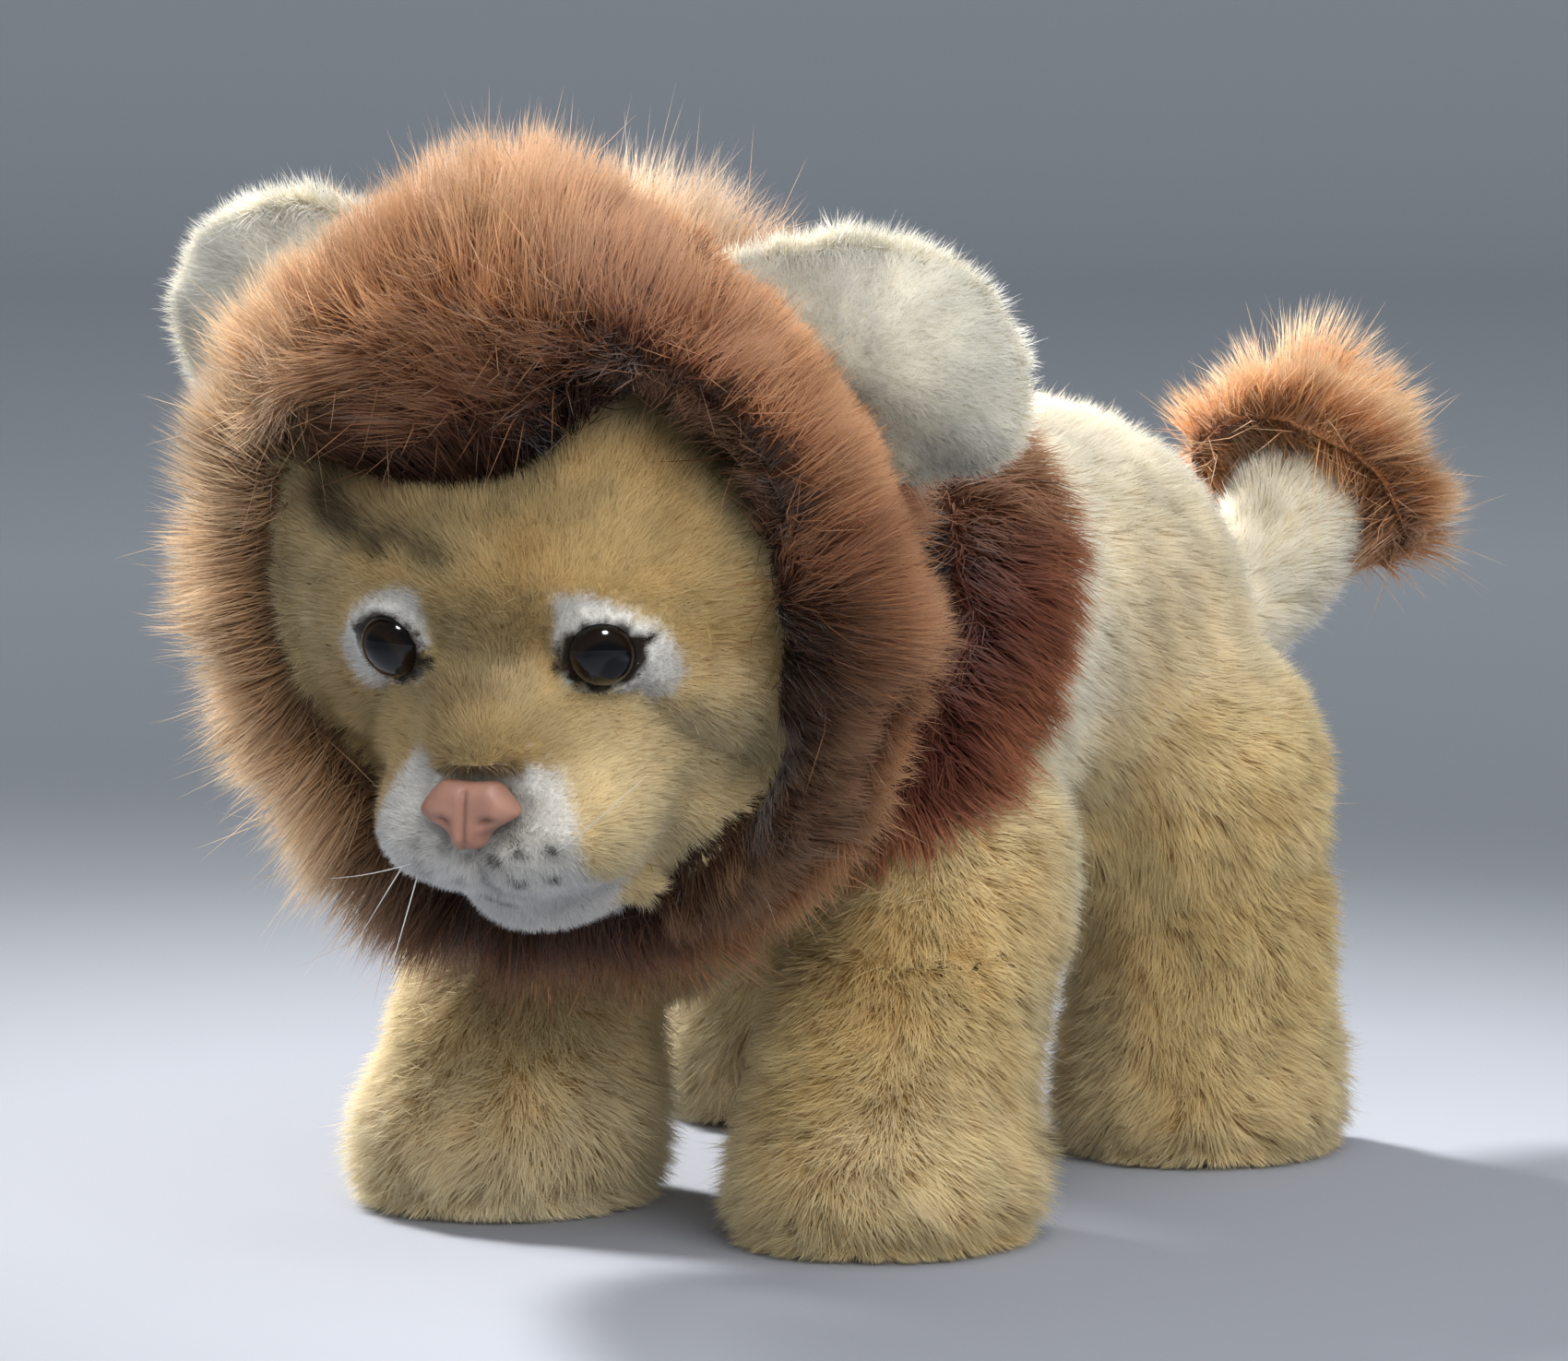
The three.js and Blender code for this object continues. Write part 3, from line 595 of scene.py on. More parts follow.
def leg_style(root, normal, rng):
    """Pile combed down the leg, flaring over the paw and deepest there and behind the front legs."""
    n, height = len(root), root[:, 2] / MM
    out = unit(np.stack([normal[:, 0], normal[:, 1], np.zeros(n)], 1))
    paw = smooth(26, 6, height)[:, None]
    wander = (patchy(root, 9, 15) - 0.5)[:, None] * np.array([1.3, 1.3, 0])
    comb = np.array([0, 0.25, -1.0]) * (1 - 0.5 * paw) + out * paw * 0.8 + wander
    front = root[:, 1] < 0
    deeper = 3.2 * smooth(0.2, 0.9, normal[:, 1]) * front * smooth(6, 16, height) + 1.6 * smooth(24, 10, height)
    length = (body_pile_length + 0.6 + deeper) * rng.uniform(0.6, 1.15, n) * (1 - 0.35 * smooth(7, 1, height))
    return dict(length=length, comb=comb, width=body_hair_width, lift=0.50 + 0.18 * patchy(root, 6, 18) + 0.03 * deeper,
                bend=0.45, droop=0.08, stray=0.2, vary=0.06, dyes=plush_dyes_and_painted_light(root))


for i, leg in enumerate(legs):
    leg_panels = [f"{leg}_{part}" for part in ("outer_panel", "inner_panel", "sole")]
    sewn = cover(leg + "_cover", gold_backing, leg_panels + [leg + "_filling"], 2.2, 8, leg_depth, lumps=1.0,
                 seed=40 + i, panels=leg_panels, swell=1.0)
    coat = pile(leg + "_pile", sewn, gold_pile, body_hairs_per_mm2, leg_style, 50 + i, clump=0.3, clump_mm=2.4,
                keep=lambda points: (points[:, 2] < leg_top + 0.001) & (points[:, 2] > 0.0010))
    for piece in (sewn, coat):
        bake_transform(piece)
    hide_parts(*[f"{leg}_{part}" for part in ("outer_panel", "inner_panel", "sole", "filling")])

# The tail: a short stuffed tube of cream pile that bends up from the rump, and a tuft of long orange-brown pile
# that fans out behind its end.
tail_root = np.array(joints["tail_swing"]["pos_m"])
tail_end = tail_root + np.array([18, 43, 30]) * MM
tail_way = unit(tail_end - tail_root)
white_pile = pile_material("white pile", 0.42, 0.7, 0.25)
white_backing = backing_material("white backing", rgb(232, 226, 208))
tail = cover("tail_cover", white_backing, ["tail_left_panel", "tail_right_panel", "tail_filling"], 1.8, 6, 2.6,
             lumps=0.5, panels=["tail_left_panel", "tail_right_panel"], swell=0.6)


def two_dyes(share, *rows):
    """Root, middle and tip colours: in each row the second dye lies over the first by this share."""
    return [blended(rgb(*a), rgb(*b), share) for a, b in rows]


def tail_style(root, normal, rng):
    """Pile combed along the tube to its end and a little down."""
    n = len(root)
    pale = 0.4 + 0.6 * patchy(root, 8, 61)
    return dict(length=rng.uniform(4, 6.8, n), comb=np.tile(tail_way + [0, 0, -0.25], (n, 1)), width=0.2, lift=0.5,
                bend=0.4, droop=0.1, stray=0.2, vary=0.04,
                dyes=two_dyes(pale, ((222, 204, 160), (234, 224, 194)), ((236, 224, 190), (243, 237, 218)),
                              ((252, 249, 240), (252, 249, 240))))


tail_pile = pile("tail_pile", tail, white_pile, 20, tail_style, 62,
                 lambda points: (points - tail_end) @ tail_way < 0.002)
for piece in (tail, tail_pile):
    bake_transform(piece)
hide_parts("tail_left_panel", "tail_right_panel", "tail_filling")
tuft = cover("tuft_cover", backing_material("tuft backing", rgb(176, 120, 78)), ["tail_tuft"], 1.8, 16, 7.5)


def tuft_style(root, normal, rng):
    """Long pile that fans out from a place inside the tube's end, in locks."""
    n = len(root)
    away = unit(root - (tail_end - tail_way * 13 * MM))
    lock = patchy(root, 5, 64)
    return dict(length=rng.uniform(11, 15, n) * (0.8 + 0.35 * lock), comb=away + rng.normal(0, 0.15, (n, 3)),
                width=0.21, lift=0.7, bend=0.3, droop=0.02, stray=0.17, vary=0.08,
                dyes=two_dyes(lock, ((140, 92, 60), (176, 122, 80)), ((210, 152, 104), (234, 180, 130)),
                              ((240, 200, 154), (251, 232, 198))))


tuft_pile = pile("tuft_pile", tuft, long_pile, 13, tuft_style, 65, bends=2, clump=0.35, clump_mm=3.0,
                 keep=lambda points: (points - tail_end) @ tail_way > -0.016)
for piece in (tuft, tuft_pile):
    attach(piece, "tail")
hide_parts("tail_tuft")

# The neck: a band of cloth between body and head that turns with the neck. The mane hides it; it closes the
# opening through which the head is stuffed and sewn on.
neck_cloth = cover("neck_cloth", backing_material("mane backing", rgb(66, 38, 24)), ["neck_gusset"], 1.6, 4, 0.4)
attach(neck_cloth, "neck")
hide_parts("neck_gusset")

# The head: two face panels with a seam between the eyes, white muzzle halves and chin, and the mane's panels round
# and behind them, over loose filling. Seams draw it in between the eyes, below the cheeks and down the muzzle.
head_panels = ["face_left", "face_right", "muzzle_left", "muzzle_right", "chin", "mane_crown", "mane_left",
               "mane_right", "mane_beard", "mane_back"]
eye_dome, eye_radius, nose_top = 3.9, 4.5, -9.6


def centre_of(name):
    low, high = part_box(name)
    return (np.array(low) + np.array(high)) / 2


eye_seats = {}
for side in ("left", "right"):
    washer = centre_of(f"eye_washer_{side}")
    eye_ways = read(nodes[f"eye_{side}"].data, "vertices", "co") - washer
    outward = unit(centre_of(f"eye_{side}") - washer)
    eye_seats[side] = (washer + outward * ((eye_ways @ outward).max() - (eye_dome + 1.1) * MM), outward)
x, _, z = in_head(eye_seats["left"][0] + eye_seats["left"][1] * 0.001)
eye_place = (float(x), float(z))
cheek_seam = [(17.5, -6.0), (21.7, -13.8), (26.5, -21.0)]


def from_line(x, z, line):
    """Distance of each place from a line of points, in mm."""
    least = np.full(len(x), 1e9)
    for (ax, az), (bx, bz) in zip(line[:-1], line[1:]):
        dx, dz = bx - ax, bz - az
        t = np.clip(((x - ax) * dx + (z - az) * dz) / (dx * dx + dz * dz), 0, 1)
        least = np.minimum(least, np.hypot(x - ax - dx * t, z - az - dz * t))
    return least


def head_depth(co, normal):
    """Most under the mane's long pile; less on the face, with creases along its seams, full cheeks and bared eyes."""
    x, ahead, z = in_head(co)
    near = np.abs(x)
    mane = smooth(-1.5, 3, beyond_opening(x, z)) + (ahead < 8)
    depth = blended(np.array([1.4]), np.array([5.2]), mane)[:, 0]
    front = (ahead > 12) & (beyond_opening(x, z) < 2)
    depth += front * 0.8 * bell(z - 1.5, 1.8) * smooth(11, 6, near)
    depth += front * 1.3 * bell(from_line(near, z, cheek_seam), 2.0)
    depth += front * 1.4 * bell(x, 1.2) * smooth(-19, -21, z) * smooth(-33, -28, z)
    depth += front * 0.6 * bell(from_line(near, z, [(0, -28.5), (4, -30.5), (6.5, -31)]), 1.3)
    round_eye = np.hypot(near - eye_place[0], z - eye_place[1])
    depth = depth + front * (-0.4 - depth) * smooth(7.0, 4.8, round_eye)
    depth -= front * 1.1 * bell(np.hypot((near - 15) / 9, (z - 9.5) / 3.2), 1)
    return depth


cheek_wads = [Matrix.Translation(Vector(out_of_head(hand * 15, 9, -28))) @ Matrix(head_axes.tolist()).to_4x4()
              @ Matrix.Diagonal((12 * MM, 14.5 * MM, 12 * MM, 1)) for hand in (1, -1)]
head = cover("head_cover", backing_material("brushed backing"),
             head_panels + ["head_filling", "eye_washer_left", "eye_washer_right", "nose_washer"], 1.4, 9, head_depth,
             wads=cheek_wads)
x, ahead, z = in_head(read(head.data, "vertices", "co"))
puff = smooth(12, 26, ahead) * bell(np.hypot((np.abs(x) - 12) / 6, (z + 22) / 9), 1)
snout = smooth(20, 30, ahead) * bell(np.hypot(x / 10, (z + 19) / 10), 1)
shift(head.data, (np.stack([np.sign(x) * 3.0 * puff, -3.2 * puff - 1.5 * snout, 0 * x], 1) * MM) @ head_axes.T)
which_head = nearest_node(head_panels)
head_which = {}


def head_part(*panels, fringe=None):
    """Where these panels show; the fringe is the part of the brow that the mane's dip covers."""
    wanted = [head_panels.index(p) for p in panels]

    def keep(points):
        if len(points) not in head_which:
            head_which[len(points)] = which_head(points)
        found = np.isin(head_which[len(points)], wanted)
        if fringe is not None:
            x, _, z = in_head(points)
            found &= ((beyond_opening(x, z) > -0.5) & (z > 6)) == fringe
        return found
    return keep


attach(head, "head")
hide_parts(*head_panels, "head_filling", "eye_patch_left", "eye_patch_right")

# The face: short gold-cream plush combed away from the nose, airbrushed by hand: white patches and dark rims at the
# eyes, dark marks on the brow, a dark line over the nose; the muzzle and chin are shorter white plush with spots.
# Painted light is dyed in too: the near cheek paler as painted fill light, the middle of the face browner as painted
# shade.
patch_outline = [(9.0, 9.6), (12.8, 9.6), (18.1, 7.0), (21.8, 3.4), (23.8, -0.5), (23.8, -3.4), (22.2, -6.6),
                 (18.8, -7.6), (15.5, -4.6), (10.0, -3.0), (8.6, 2)]
half_muzzle = [(4.0, -12.4), (6.4, -9.4), (10.3, -12.8), (12.9, -17.6), (13.8, -22), (13.6, -28), (11.8, -34),
               (9.5, -40), (6, -48)]
muzzle_outline = half_muzzle + [(0, -50)] + [(-x * 1.22, z) for x, z in reversed(half_muzzle)]
spots = [(9.7, -21.3), (5.6, -21.4), (2.3, -23.0), (4.4, -26.4), (9.4, -25.6)]
# Lines of dark and of brown dye: strength, reach in mm, for the dark ones raggedness, whether both sides have it.
dark_lines = [(1, 0.9, 0.3, True, [(18.2, 3.0), (20.6, 2.2)]),
              (0.65, 1.3, 0.8, False, [(-6.0, nose_top - 1.6), (-0.8, nose_top - 0.6), (4.2, nose_top - 1.6)]),
              (0.3, 1.0, 0.5, False, [(-0.8, -22), (-0.6, -28), (2.5, -30.5)]),
              (0.7, 1.6, 0.6, False, [(-3.4, -32.0), (-1.2, -33.6)])]
brown_lines = [(0.95, 2.4, False, [(-26, 16.0), (-21, 15.4), (-16.5, 14.6)]),
               (0.75, 1.9, False, [(-12.5, 16.0), (-6, 14.4)]),
               (0.30, 2.2, False, [(9, 20.5), (15, 21.0)]), (0.16, 1.5, True, cheek_seam)]


def within(x, z, outline):
    """How far inside an outline each place is, in mm; negative outside."""
    inside = np.zeros(len(x), bool)
    for (ax, az), (bx, bz) in zip(outline, outline[1:] + outline[:1]):
        crosses = (az > z) != (bz > z)
        inside ^= crosses & (x < (bx - ax) * (z - az) / np.where(bz == az, 1e-9, bz - az) + ax)
    away = from_line(x, z, outline + outline[:1])
    return np.where(inside, away, -away)


def dyed_over(parts, share, *colours):
    """Root, middle and tip colours with another dye brushed over them."""
    return [blended(p, rgb(*c), share) for p, c in zip(parts, colours)]


def face_dye(x, z, root, rng):
    """Root, middle and tip colours at each place of the face."""
    near, jitter = np.abs(x), rng.normal(0, 0.35, len(x))
    gold = np.clip(patchy(root, 6, 71) * 1.6 - 0.5, 0, 1)
    # The last term is painted fill light: the near cheek below the eye is dyed paler.
    pale = np.clip(0.35 * patchy(root, 12, 72) + 0.6 * smooth(-18, -32, x) * smooth(-16, 2, z)
                   + 0.1 * smooth(10, 4, np.hypot(x / 1.3, z + 3))
                   + 1.0 * smooth(6, 16, x) * smooth(2, -8, z) * smooth(36, 28, x), 0, 1)
    parts = three_dyes(gold, pale, ((200, 170, 112), (184, 146, 86), (222, 198, 146)),
                       ((214, 186, 126), (200, 164, 102), (234, 214, 164)),
                       ((230, 208, 156), (218, 188, 130), (244, 230, 192)))
    white = smooth(-0.5, 0.7, within(near, z, patch_outline) + jitter)
    white = np.maximum(white, smooth(-0.6, 0.9, within(x, z, muzzle_outline) + jitter))
    parts = dyed_over(parts, white, (216, 212, 204), (238, 236, 230), (252, 251, 248))
    round_eye = np.hypot(near - eye_place[0] + 0.4, (z - eye_place[1]) * 1.1)
    dark = smooth(5.9, 5.2, round_eye + 0.35 * jitter)
    dark = np.maximum(dark, smooth(1.1, 0.3, np.hypot((near - 8.8) / 0.85, (z + 0.6) / 1.35) + 0.2 * jitter))
    for strength, reach, ragged, mirrored, line in dark_lines:
        away = from_line(near if mirrored else x, z, line) + ragged * jitter
        dark = np.maximum(dark, strength * smooth(reach, 0.3, away))
    for sx, sz in spots:
        away = np.hypot(near - sx, (z - sz) * 1.3) + 0.7 * jitter
        dark = np.maximum(dark, (0.85 - 0.5 * (x < 0)) * smooth(1.4, 0.4, away))
    parts = dyed_over(parts, dark, (24, 20, 17), (40, 32, 26), (70, 58, 48))
    brown_dye_and_painted_shade = np.zeros(len(x))
    for strength, reach, mirrored, line in brown_lines:
        brown_dye_and_painted_shade += strength * bell(from_line(near if mirrored else x, z, line), reach)
    brown_dye_and_painted_shade += 0.14 * bell(z - 1.5, 0.8) * (near < 9.5)
    brown_dye_and_painted_shade += 0.30 * smooth(-3, 0, beyond_opening(x, z)) * smooth(-30, 10, z)
    # Painted shade: the middle of the face is dyed browner.
    brown_dye_and_painted_shade += 0.32 * bell(np.hypot(x / 12, (z + 1) / 13), 1)
    brown_dye_and_painted_shade = np.clip(brown_dye_and_painted_shade * (0.55 + 0.8 * patchy(root, 2.6, 73)), 0, 0.9)
    return dyed_over(parts, brown_dye_and_painted_shade, (40, 34, 24), (62, 52, 36), (88, 76, 56))


def face_style(root, normal, rng):
    """Short pile combed away from the nose, shorter on the muzzle and the eye patches, and none over the eyes."""
    n = len(root)
    x, _, z = in_head(root)
    near = np.abs(x)
    away = np.stack([x, 0 * x, z + 14], 1)
    away[:, 2] += 3
    away = unit(away)
    comb = away @ head_axes.T + head_axes @ np.array([0, 0.9, 0])
    round_eye = np.hypot(near - eye_place[0], z - eye_place[1])
    muzzle = smooth(-1, 1, within(x, z, muzzle_outline))
    length = (3.0 + 1.4 * smooth(8, 30, np.hypot(x, z + 14))) * rng.uniform(0.7, 1.15, n)
    length = length * (1 - muzzle) + muzzle * rng.uniform(1.7, 2.5, n)
    length = np.where(round_eye < 11, np.minimum(length, 0.9 + 0.30 * np.maximum(round_eye - 4.4, 0)), length)
    length = np.where(round_eye < 4.4, 0.02, length)
    patch = smooth(-1, 1, within(near, z, patch_outline))
    length = np.where(patch > 0.5, np.minimum(length, 2.2), length)
    over_nose = smooth(0.5, 2.5, from_line(x, z, [(-5.5, -13.2), (0, -12.4), (5.5, -13.2)]))
    length = length * (0.4 + 0.6 * over_nose)
    lean = away * (0.55 * length)[:, None]
    return dict(length=length, comb=comb, width=0.17 - 0.03 * muzzle, lift=0.5 + 0.15 * muzzle, bend=0.35, droop=0.04,
                stray=0.2, vary=0.05, dyes=face_dye(x + lean[:, 0], z + lean[:, 2], root, rng))


for name, panels, thick, seed in (("face_left_pile", ("face_left",), 34, 81),
                                  ("face_right_pile", ("face_right",), 34, 82),
                                  ("muzzle_pile", ("muzzle_left", "muzzle_right", "chin"), 42, 83)):
    coat = pile(name, head, white_pile if "muzzle" in name else gold_pile, thick, face_style, seed,
                head_part(*panels, fringe=False), clump=0.18, clump_mm=1.4)
    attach(coat, "head")

# The mane: long pile that stands outward from the face's edge and sweeps back. It is almost black at the face, dark
# dye with painted shade at its roots, red-brown further out and orange-tan at the tips. Painted light is dyed in too:
# the crown and the far side palest, as painted glow of the light from behind, and the near side lighter, as painted
# fill light.
ear_trees = [tree_of(nodes[f"ear_{side}_{face}"].data) for side in ("left", "right") for face in ("front", "back")]


def mane_style(root, normal, rng):
    """Locks that stand out from the face's edge, sweep back and down behind, and are short beside the ears."""
    n = len(root)
    x, ahead, z = in_head(root)
    from_ear = np.array([min(t.find_nearest(p)[3] for t in ear_trees) for p in root]) / MM
    beyond = beyond_opening(x, z)
    radial = unit(np.stack([x, 0 * x, z + 4], 1))
    rear = smooth(12, -22, ahead)
    top = smooth(15, 35, z)
    lock = patchy(root, 6, 91)
    jowl = smooth(4, 20, x) * smooth(0, -18, z)
    wander = np.stack([patchy(root, 7, 92) - 0.5, 0 * x, patchy(root, 7, 93) - 0.5], 1) * 0.9
    back_and_down = np.array([0, 1.0, 0]) * (0.25 + 1.0 * rear + 0.7 * jowl)[:, None] \
        + np.array([0, 0, -0.9]) * (rear * (1 - 0.8 * top))[:, None]
    sideways = unit(radial * (1 - 0.75 * rear)[:, None] + back_and_down + wander)
    inward = np.clip(-(normal @ head_axes * radial).sum(1), 0, 1) * smooth(-12, -6, ahead)
    comb = blended(sideways, radial + [0, -0.8, 0], inward * 1.5) @ head_axes.T
    crown = smooth(0.2, 0.85, radial[:, 2]) * smooth(-6, 8, ahead)
    below = smooth(0.2, 0.9, -radial[:, 2])
    near_side = smooth(4, 12, x) * smooth(-20, -4, z)
    reach = near_side * smooth(14, 2, z)
    # Dark dye along the face's edge, partly painted shade at the mane's roots there; darker still where the ruff faces
    # in.
    edge = smooth(12 - near_side - 4 * reach, 1 + 2 * near_side - 2 * reach, beyond) \
        * smooth(2 - 12 * near_side, 12 - 12 * near_side, ahead)
    edge = np.maximum(edge, smooth(0.1, 0.5, inward) * (0.35 + 0.55 * near_side))
    # Lighter further from the face; the far side's share is painted glow of the light from behind.
    light = np.clip(smooth(4, 24, beyond) * (0.4 + 0.6 * smooth(-0.4, 0.5, radial[:, 2])) + 0.75 * smooth(-16, -34, x)
                    + 0.45 * below, 0, 1)
    light *= 1 - 0.2 * smooth(14, 30, x) * smooth(2, 22, z)
    # Painted fill light: the near side's lower mane is dyed lighter.
    light = np.clip(light + 0.55 * smooth(8, 26, x) * smooth(14, -8, z) + 0.6 * (lock - 0.5), 0, 1)
    # Painted glow of the light from behind: whitish tips on the crown.
    pale = np.maximum(smooth(38, 55, z) * smooth(22, -10, ahead), 0.95 * top * smooth(2, -14, ahead))
    parts = three_dyes(light, pale, ((100, 56, 38), (158, 106, 70), (204, 156, 108)),
                       ((148, 92, 64), (204, 148, 104), (234, 198, 154)),
                       ((182, 128, 96), (232, 190, 146), (252, 240, 218)))
    # Painted glow of the light from behind: the far side is dyed paler.
    far = smooth(-14, -30, x)
    # Painted fill light: the near side's outer hair is dyed lighter.
    painted_near_side_fill = 0.6 * smooth(6, 16, x) * smooth(8, 14, beyond)
    # The outer hair over the jowls is dyed darker red-brown.
    darker_outer_jowl = 0.8 * jowl * smooth(14, 20, beyond)
    parts = dyed_over(parts, 0.9 * far, (182, 128, 84), (230, 184, 136), (250, 228, 194))
    parts = dyed_over(parts, painted_near_side_fill, (132, 84, 56), (182, 128, 90), (224, 180, 140))
    parts = dyed_over(parts, darker_outer_jowl, (76, 42, 30), (114, 70, 50), (152, 102, 74))
    edge_shares = (0.92, 0.85 - 0.45 * far + 0.1 * near_side, 0.65 - 0.5 * far + 0.25 * near_side)
    parts = [blended(p, rgb(*c), edge * share)
             for p, c, share in zip(parts, ((24, 17, 13), (44, 31, 24), (78, 54, 40)), edge_shares)]
    outer = smooth(0.0, 0.6, np.abs(radial[:, 0])) * smooth(-8, 10, ahead)
    full = 14 + 3 * crown + 8 * outer + 5 * below - 2.0 * rear + 11 * rear * top - 13 * jowl
    length = full * rng.uniform(0.6, 1.12, n) * (1 - (0.3 + 0.35 * smooth(8, 20, x) * smooth(0, 12, z)) * edge)
    behind_ear = smooth(-6, -12, ahead)
    length = np.minimum(length, 1.6 + 0.42 * from_ear + 0.01 * from_ear ** 2 + 1.2 * from_ear * behind_ear * (x > 0))
    lift = 0.40 + 0.22 * crown + 0.12 * outer + 0.1 * lock + 0.15 * rear * top
    lift = lift * (1 - 0.6 * inward) * (1 - 0.35 * jowl)
    return dict(length=length, comb=comb, width=0.19, lift=lift, bend=0.45,
                curl=(radial * (0.7 * inward)[:, None]) @ head_axes.T, droop=0.08, stray=0.15, vary=0.09,
                loose=0.07 * (1 - edge), dyes=parts)


mane_parts = [(part, (part,), 9.6) for part in ("mane_crown", "mane_left", "mane_right", "mane_beard")] \
    + [("mane_back", ("mane_back",), 4.5), ("mane_fringe", ("face_left", "face_right"), 12)]
for i, (name, panels, thick) in enumerate(mane_parts):
    coat = pile(name + "_pile", head, long_pile, thick, mane_style, 95 + i, bends=2, clump=0.4, clump_mm=3.0,
                keep=head_part(*panels, fringe=True if name == "mane_fringe" else None))
    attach(coat, "head")

# The head cover under the pile takes the mane's root colours and the face's middle colours, with their painted light
# and shade.
co = read(head.data, "vertices", "co")
normal = read(head.data, "vertex_normals", "vector")
x, ahead, z = in_head(co)
on_face = smooth(1, -1, beyond_opening(x, z)) * smooth(4, 8, ahead)
paint(head.data, blended(mane_style(co, normal, np.random.default_rng(3))["dyes"][0],
                         face_dye(x, z, co, np.random.default_rng(4))[1] * 0.9, on_face))

# The ears: rounded flaps of short white plush in front and cream behind, stuffed flat. The left one leans outward
# and down, as in the photograph.
right = np.array([math.cos(view_side), math.sin(view_side), 0])
for hand, side in ((1, "left"), (-1, "right")):
    joint = joints[f"ear_{side}_fold"]
    hinge, chord = np.array(joint["pos_m"]), unit(np.array(joint["axis"], float))
    heart = centre_of(f"ear_{side}_front")
    flap = unit((heart - hinge) - chord * ((heart - hinge) @ chord))
    faces_back = unit(np.cross(flap, chord))
    faces_back *= np.sign(faces_back @ head_axes @ np.array([0, 1, 0]))
    fold = hinge + (flap * 17 + chord * (-9 * hand)) * MM

    def ear_depth(co, normal):
        """Drawn in under the pile, most along the top, with the small tuck where the rim is gathered."""
        tuck = bell(np.linalg.norm(co - fold, axis=1) / MM, 3.0)
        full = bell(np.linalg.norm(co - heart, axis=1) / MM, 11)
        return 1.8 + 2.2 * smooth(0.134, 0.144, co[:, 2]) + 1.2 * tuck - 2.6 * full

    ear_panels = [f"ear_{side}_front", f"ear_{side}_back"]
    ear = cover(f"ear_{side}_cover", white_backing, ear_panels, 1.3, 24, ear_depth, lumps=0.3, panels=ear_panels,
                swell=0.5)
    lean = smooth(0, 14, (read(ear.data, "vertices", "co") - hinge) @ flap / MM) * (hand > 0)
    shift(ear.data, np.outer(lean, (right * 2.4 + np.array([0, 0, -3.8])) * MM))

    def ear_style(root, normal, rng):
        """Pile combed from the root to the rim, longest at the rim and creamier behind."""
        n = len(root)
        up_flap, across = (root - hinge) @ flap / MM, (root - hinge) @ chord / MM
        behind = smooth(-0.2, 0.35, normal @ faces_back)
        comb = np.tile(flap, (n, 1)) + chord * (across / 22)[:, None]
        cream = np.clip(behind * 0.8 + 0.35 * smooth(4, 0, up_flap) + 0.15 * patchy(root, 8, 111), 0, 1)
        rim = np.clip(1 - np.abs(normal @ faces_back), 0, 1)
        return dict(length=rng.uniform(2.4, 3.8, n) * (1 + 0.7 * rim), comb=comb, width=0.16, lift=0.5 + 0.15 * rim,
                    bend=0.35, droop=0.04, stray=0.24, vary=0.02,
                    dyes=two_dyes(cream, ((240, 238, 228), (228, 214, 174)), ((244, 243, 235), (236, 226, 192)),
                                  ((251, 251, 247), (247, 242, 222))))

    coat = pile(f"ear_{side}_pile", ear, white_pile, 26, ear_style, 112 + hand, clump=0.12, clump_mm=1.5,
                keep=lambda points: (points - hinge) @ flap > 0)
    for piece in (ear, coat):
        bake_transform(piece)
    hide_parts(f"ear_{side}_front", f"ear_{side}_back")

# The eyes: moulded black safety eyes with a dark brown iris under a clear dome. Each stands on a shank that goes
# through the cloth and is held from inside by a lock washer of milky plastic, like the nose's.
eye_gloss, tree, principled = new_material("eye gloss", Roughness=0.15, Specular_IOR_Level=0.1, Coat_Weight=0.8,
                                           Coat_IOR=1.4, Coat_Roughness=0.02)
wire(principled, Base_Color=ramp(tree, attribute(tree, "ring", "Fac"), (0.70, (0.002, 0.002, 0.003)),
                                 (0.80, (0.011, 0.006, 0.004)), (0.93, (0.007, 0.004, 0.003)),
                                 (0.98, (0.002, 0.002, 0.002))))


def cloudy(name, roughness, scale, dark, light):
    """Plain plastic with a faint cloudiness in its colour."""
    material, tree, principled = new_material(name, Roughness=roughness)
    wire(principled, Base_Color=ramp(tree, noise(tree, scale), (0, dark), (1, light)))
    return material


def smooth_object(name, bm):
    """The finished bmesh as an object with smooth shading."""
    mesh = bpy.data.meshes.new(name)
    bm.to_mesh(mesh)
    bm.free()
    mesh.shade_smooth()
    return placed(name, mesh)


for side, (seat, outward) in eye_seats.items():
    bm = bmesh.new()
    bmesh.ops.create_uvsphere(bm, u_segments=48, v_segments=32, radius=eye_radius)
    bmesh.ops.scale(bm, vec=(1, 1, eye_dome / eye_radius), verts=bm.verts)
    bmesh.ops.bisect_plane(bm, geom=bm.verts[:] + bm.edges[:] + bm.faces[:], plane_co=(0, 0, -0.6), plane_no=(0, 0, -1),
                           clear_outer=True)
    bmesh.ops.holes_fill(bm, edges=[e for e in bm.edges if e.is_boundary], sides=0)
    bmesh.ops.create_cone(bm, cap_ends=True, segments=24, radius1=1.4, radius2=1.5, depth=7.5,
                          matrix=Matrix.Translation((0, 0, -4.2)))
    turn = Vector(outward).to_track_quat("Z", "Y").to_matrix().to_4x4()
    bm.verts.ensure_lookup_table()
    rings = [min(1.0, math.hypot(v.co.x, v.co.y) / eye_radius) if v.co.z > -0.7 else 0.99 for v in bm.verts]
    bmesh.ops.transform(bm, matrix=Matrix.Translation(Vector(seat)) @ turn @ Matrix.Scale(MM, 4), verts=bm.verts)
    eye = smooth_object(f"eye_{side}_dome", bm)
    eye.data.attributes.new("ring", "FLOAT", "POINT").data.foreach_set("value", rings)
    eye.data.materials.append(eye_gloss)
    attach(eye, "head")
    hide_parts(f"eye_{side}")
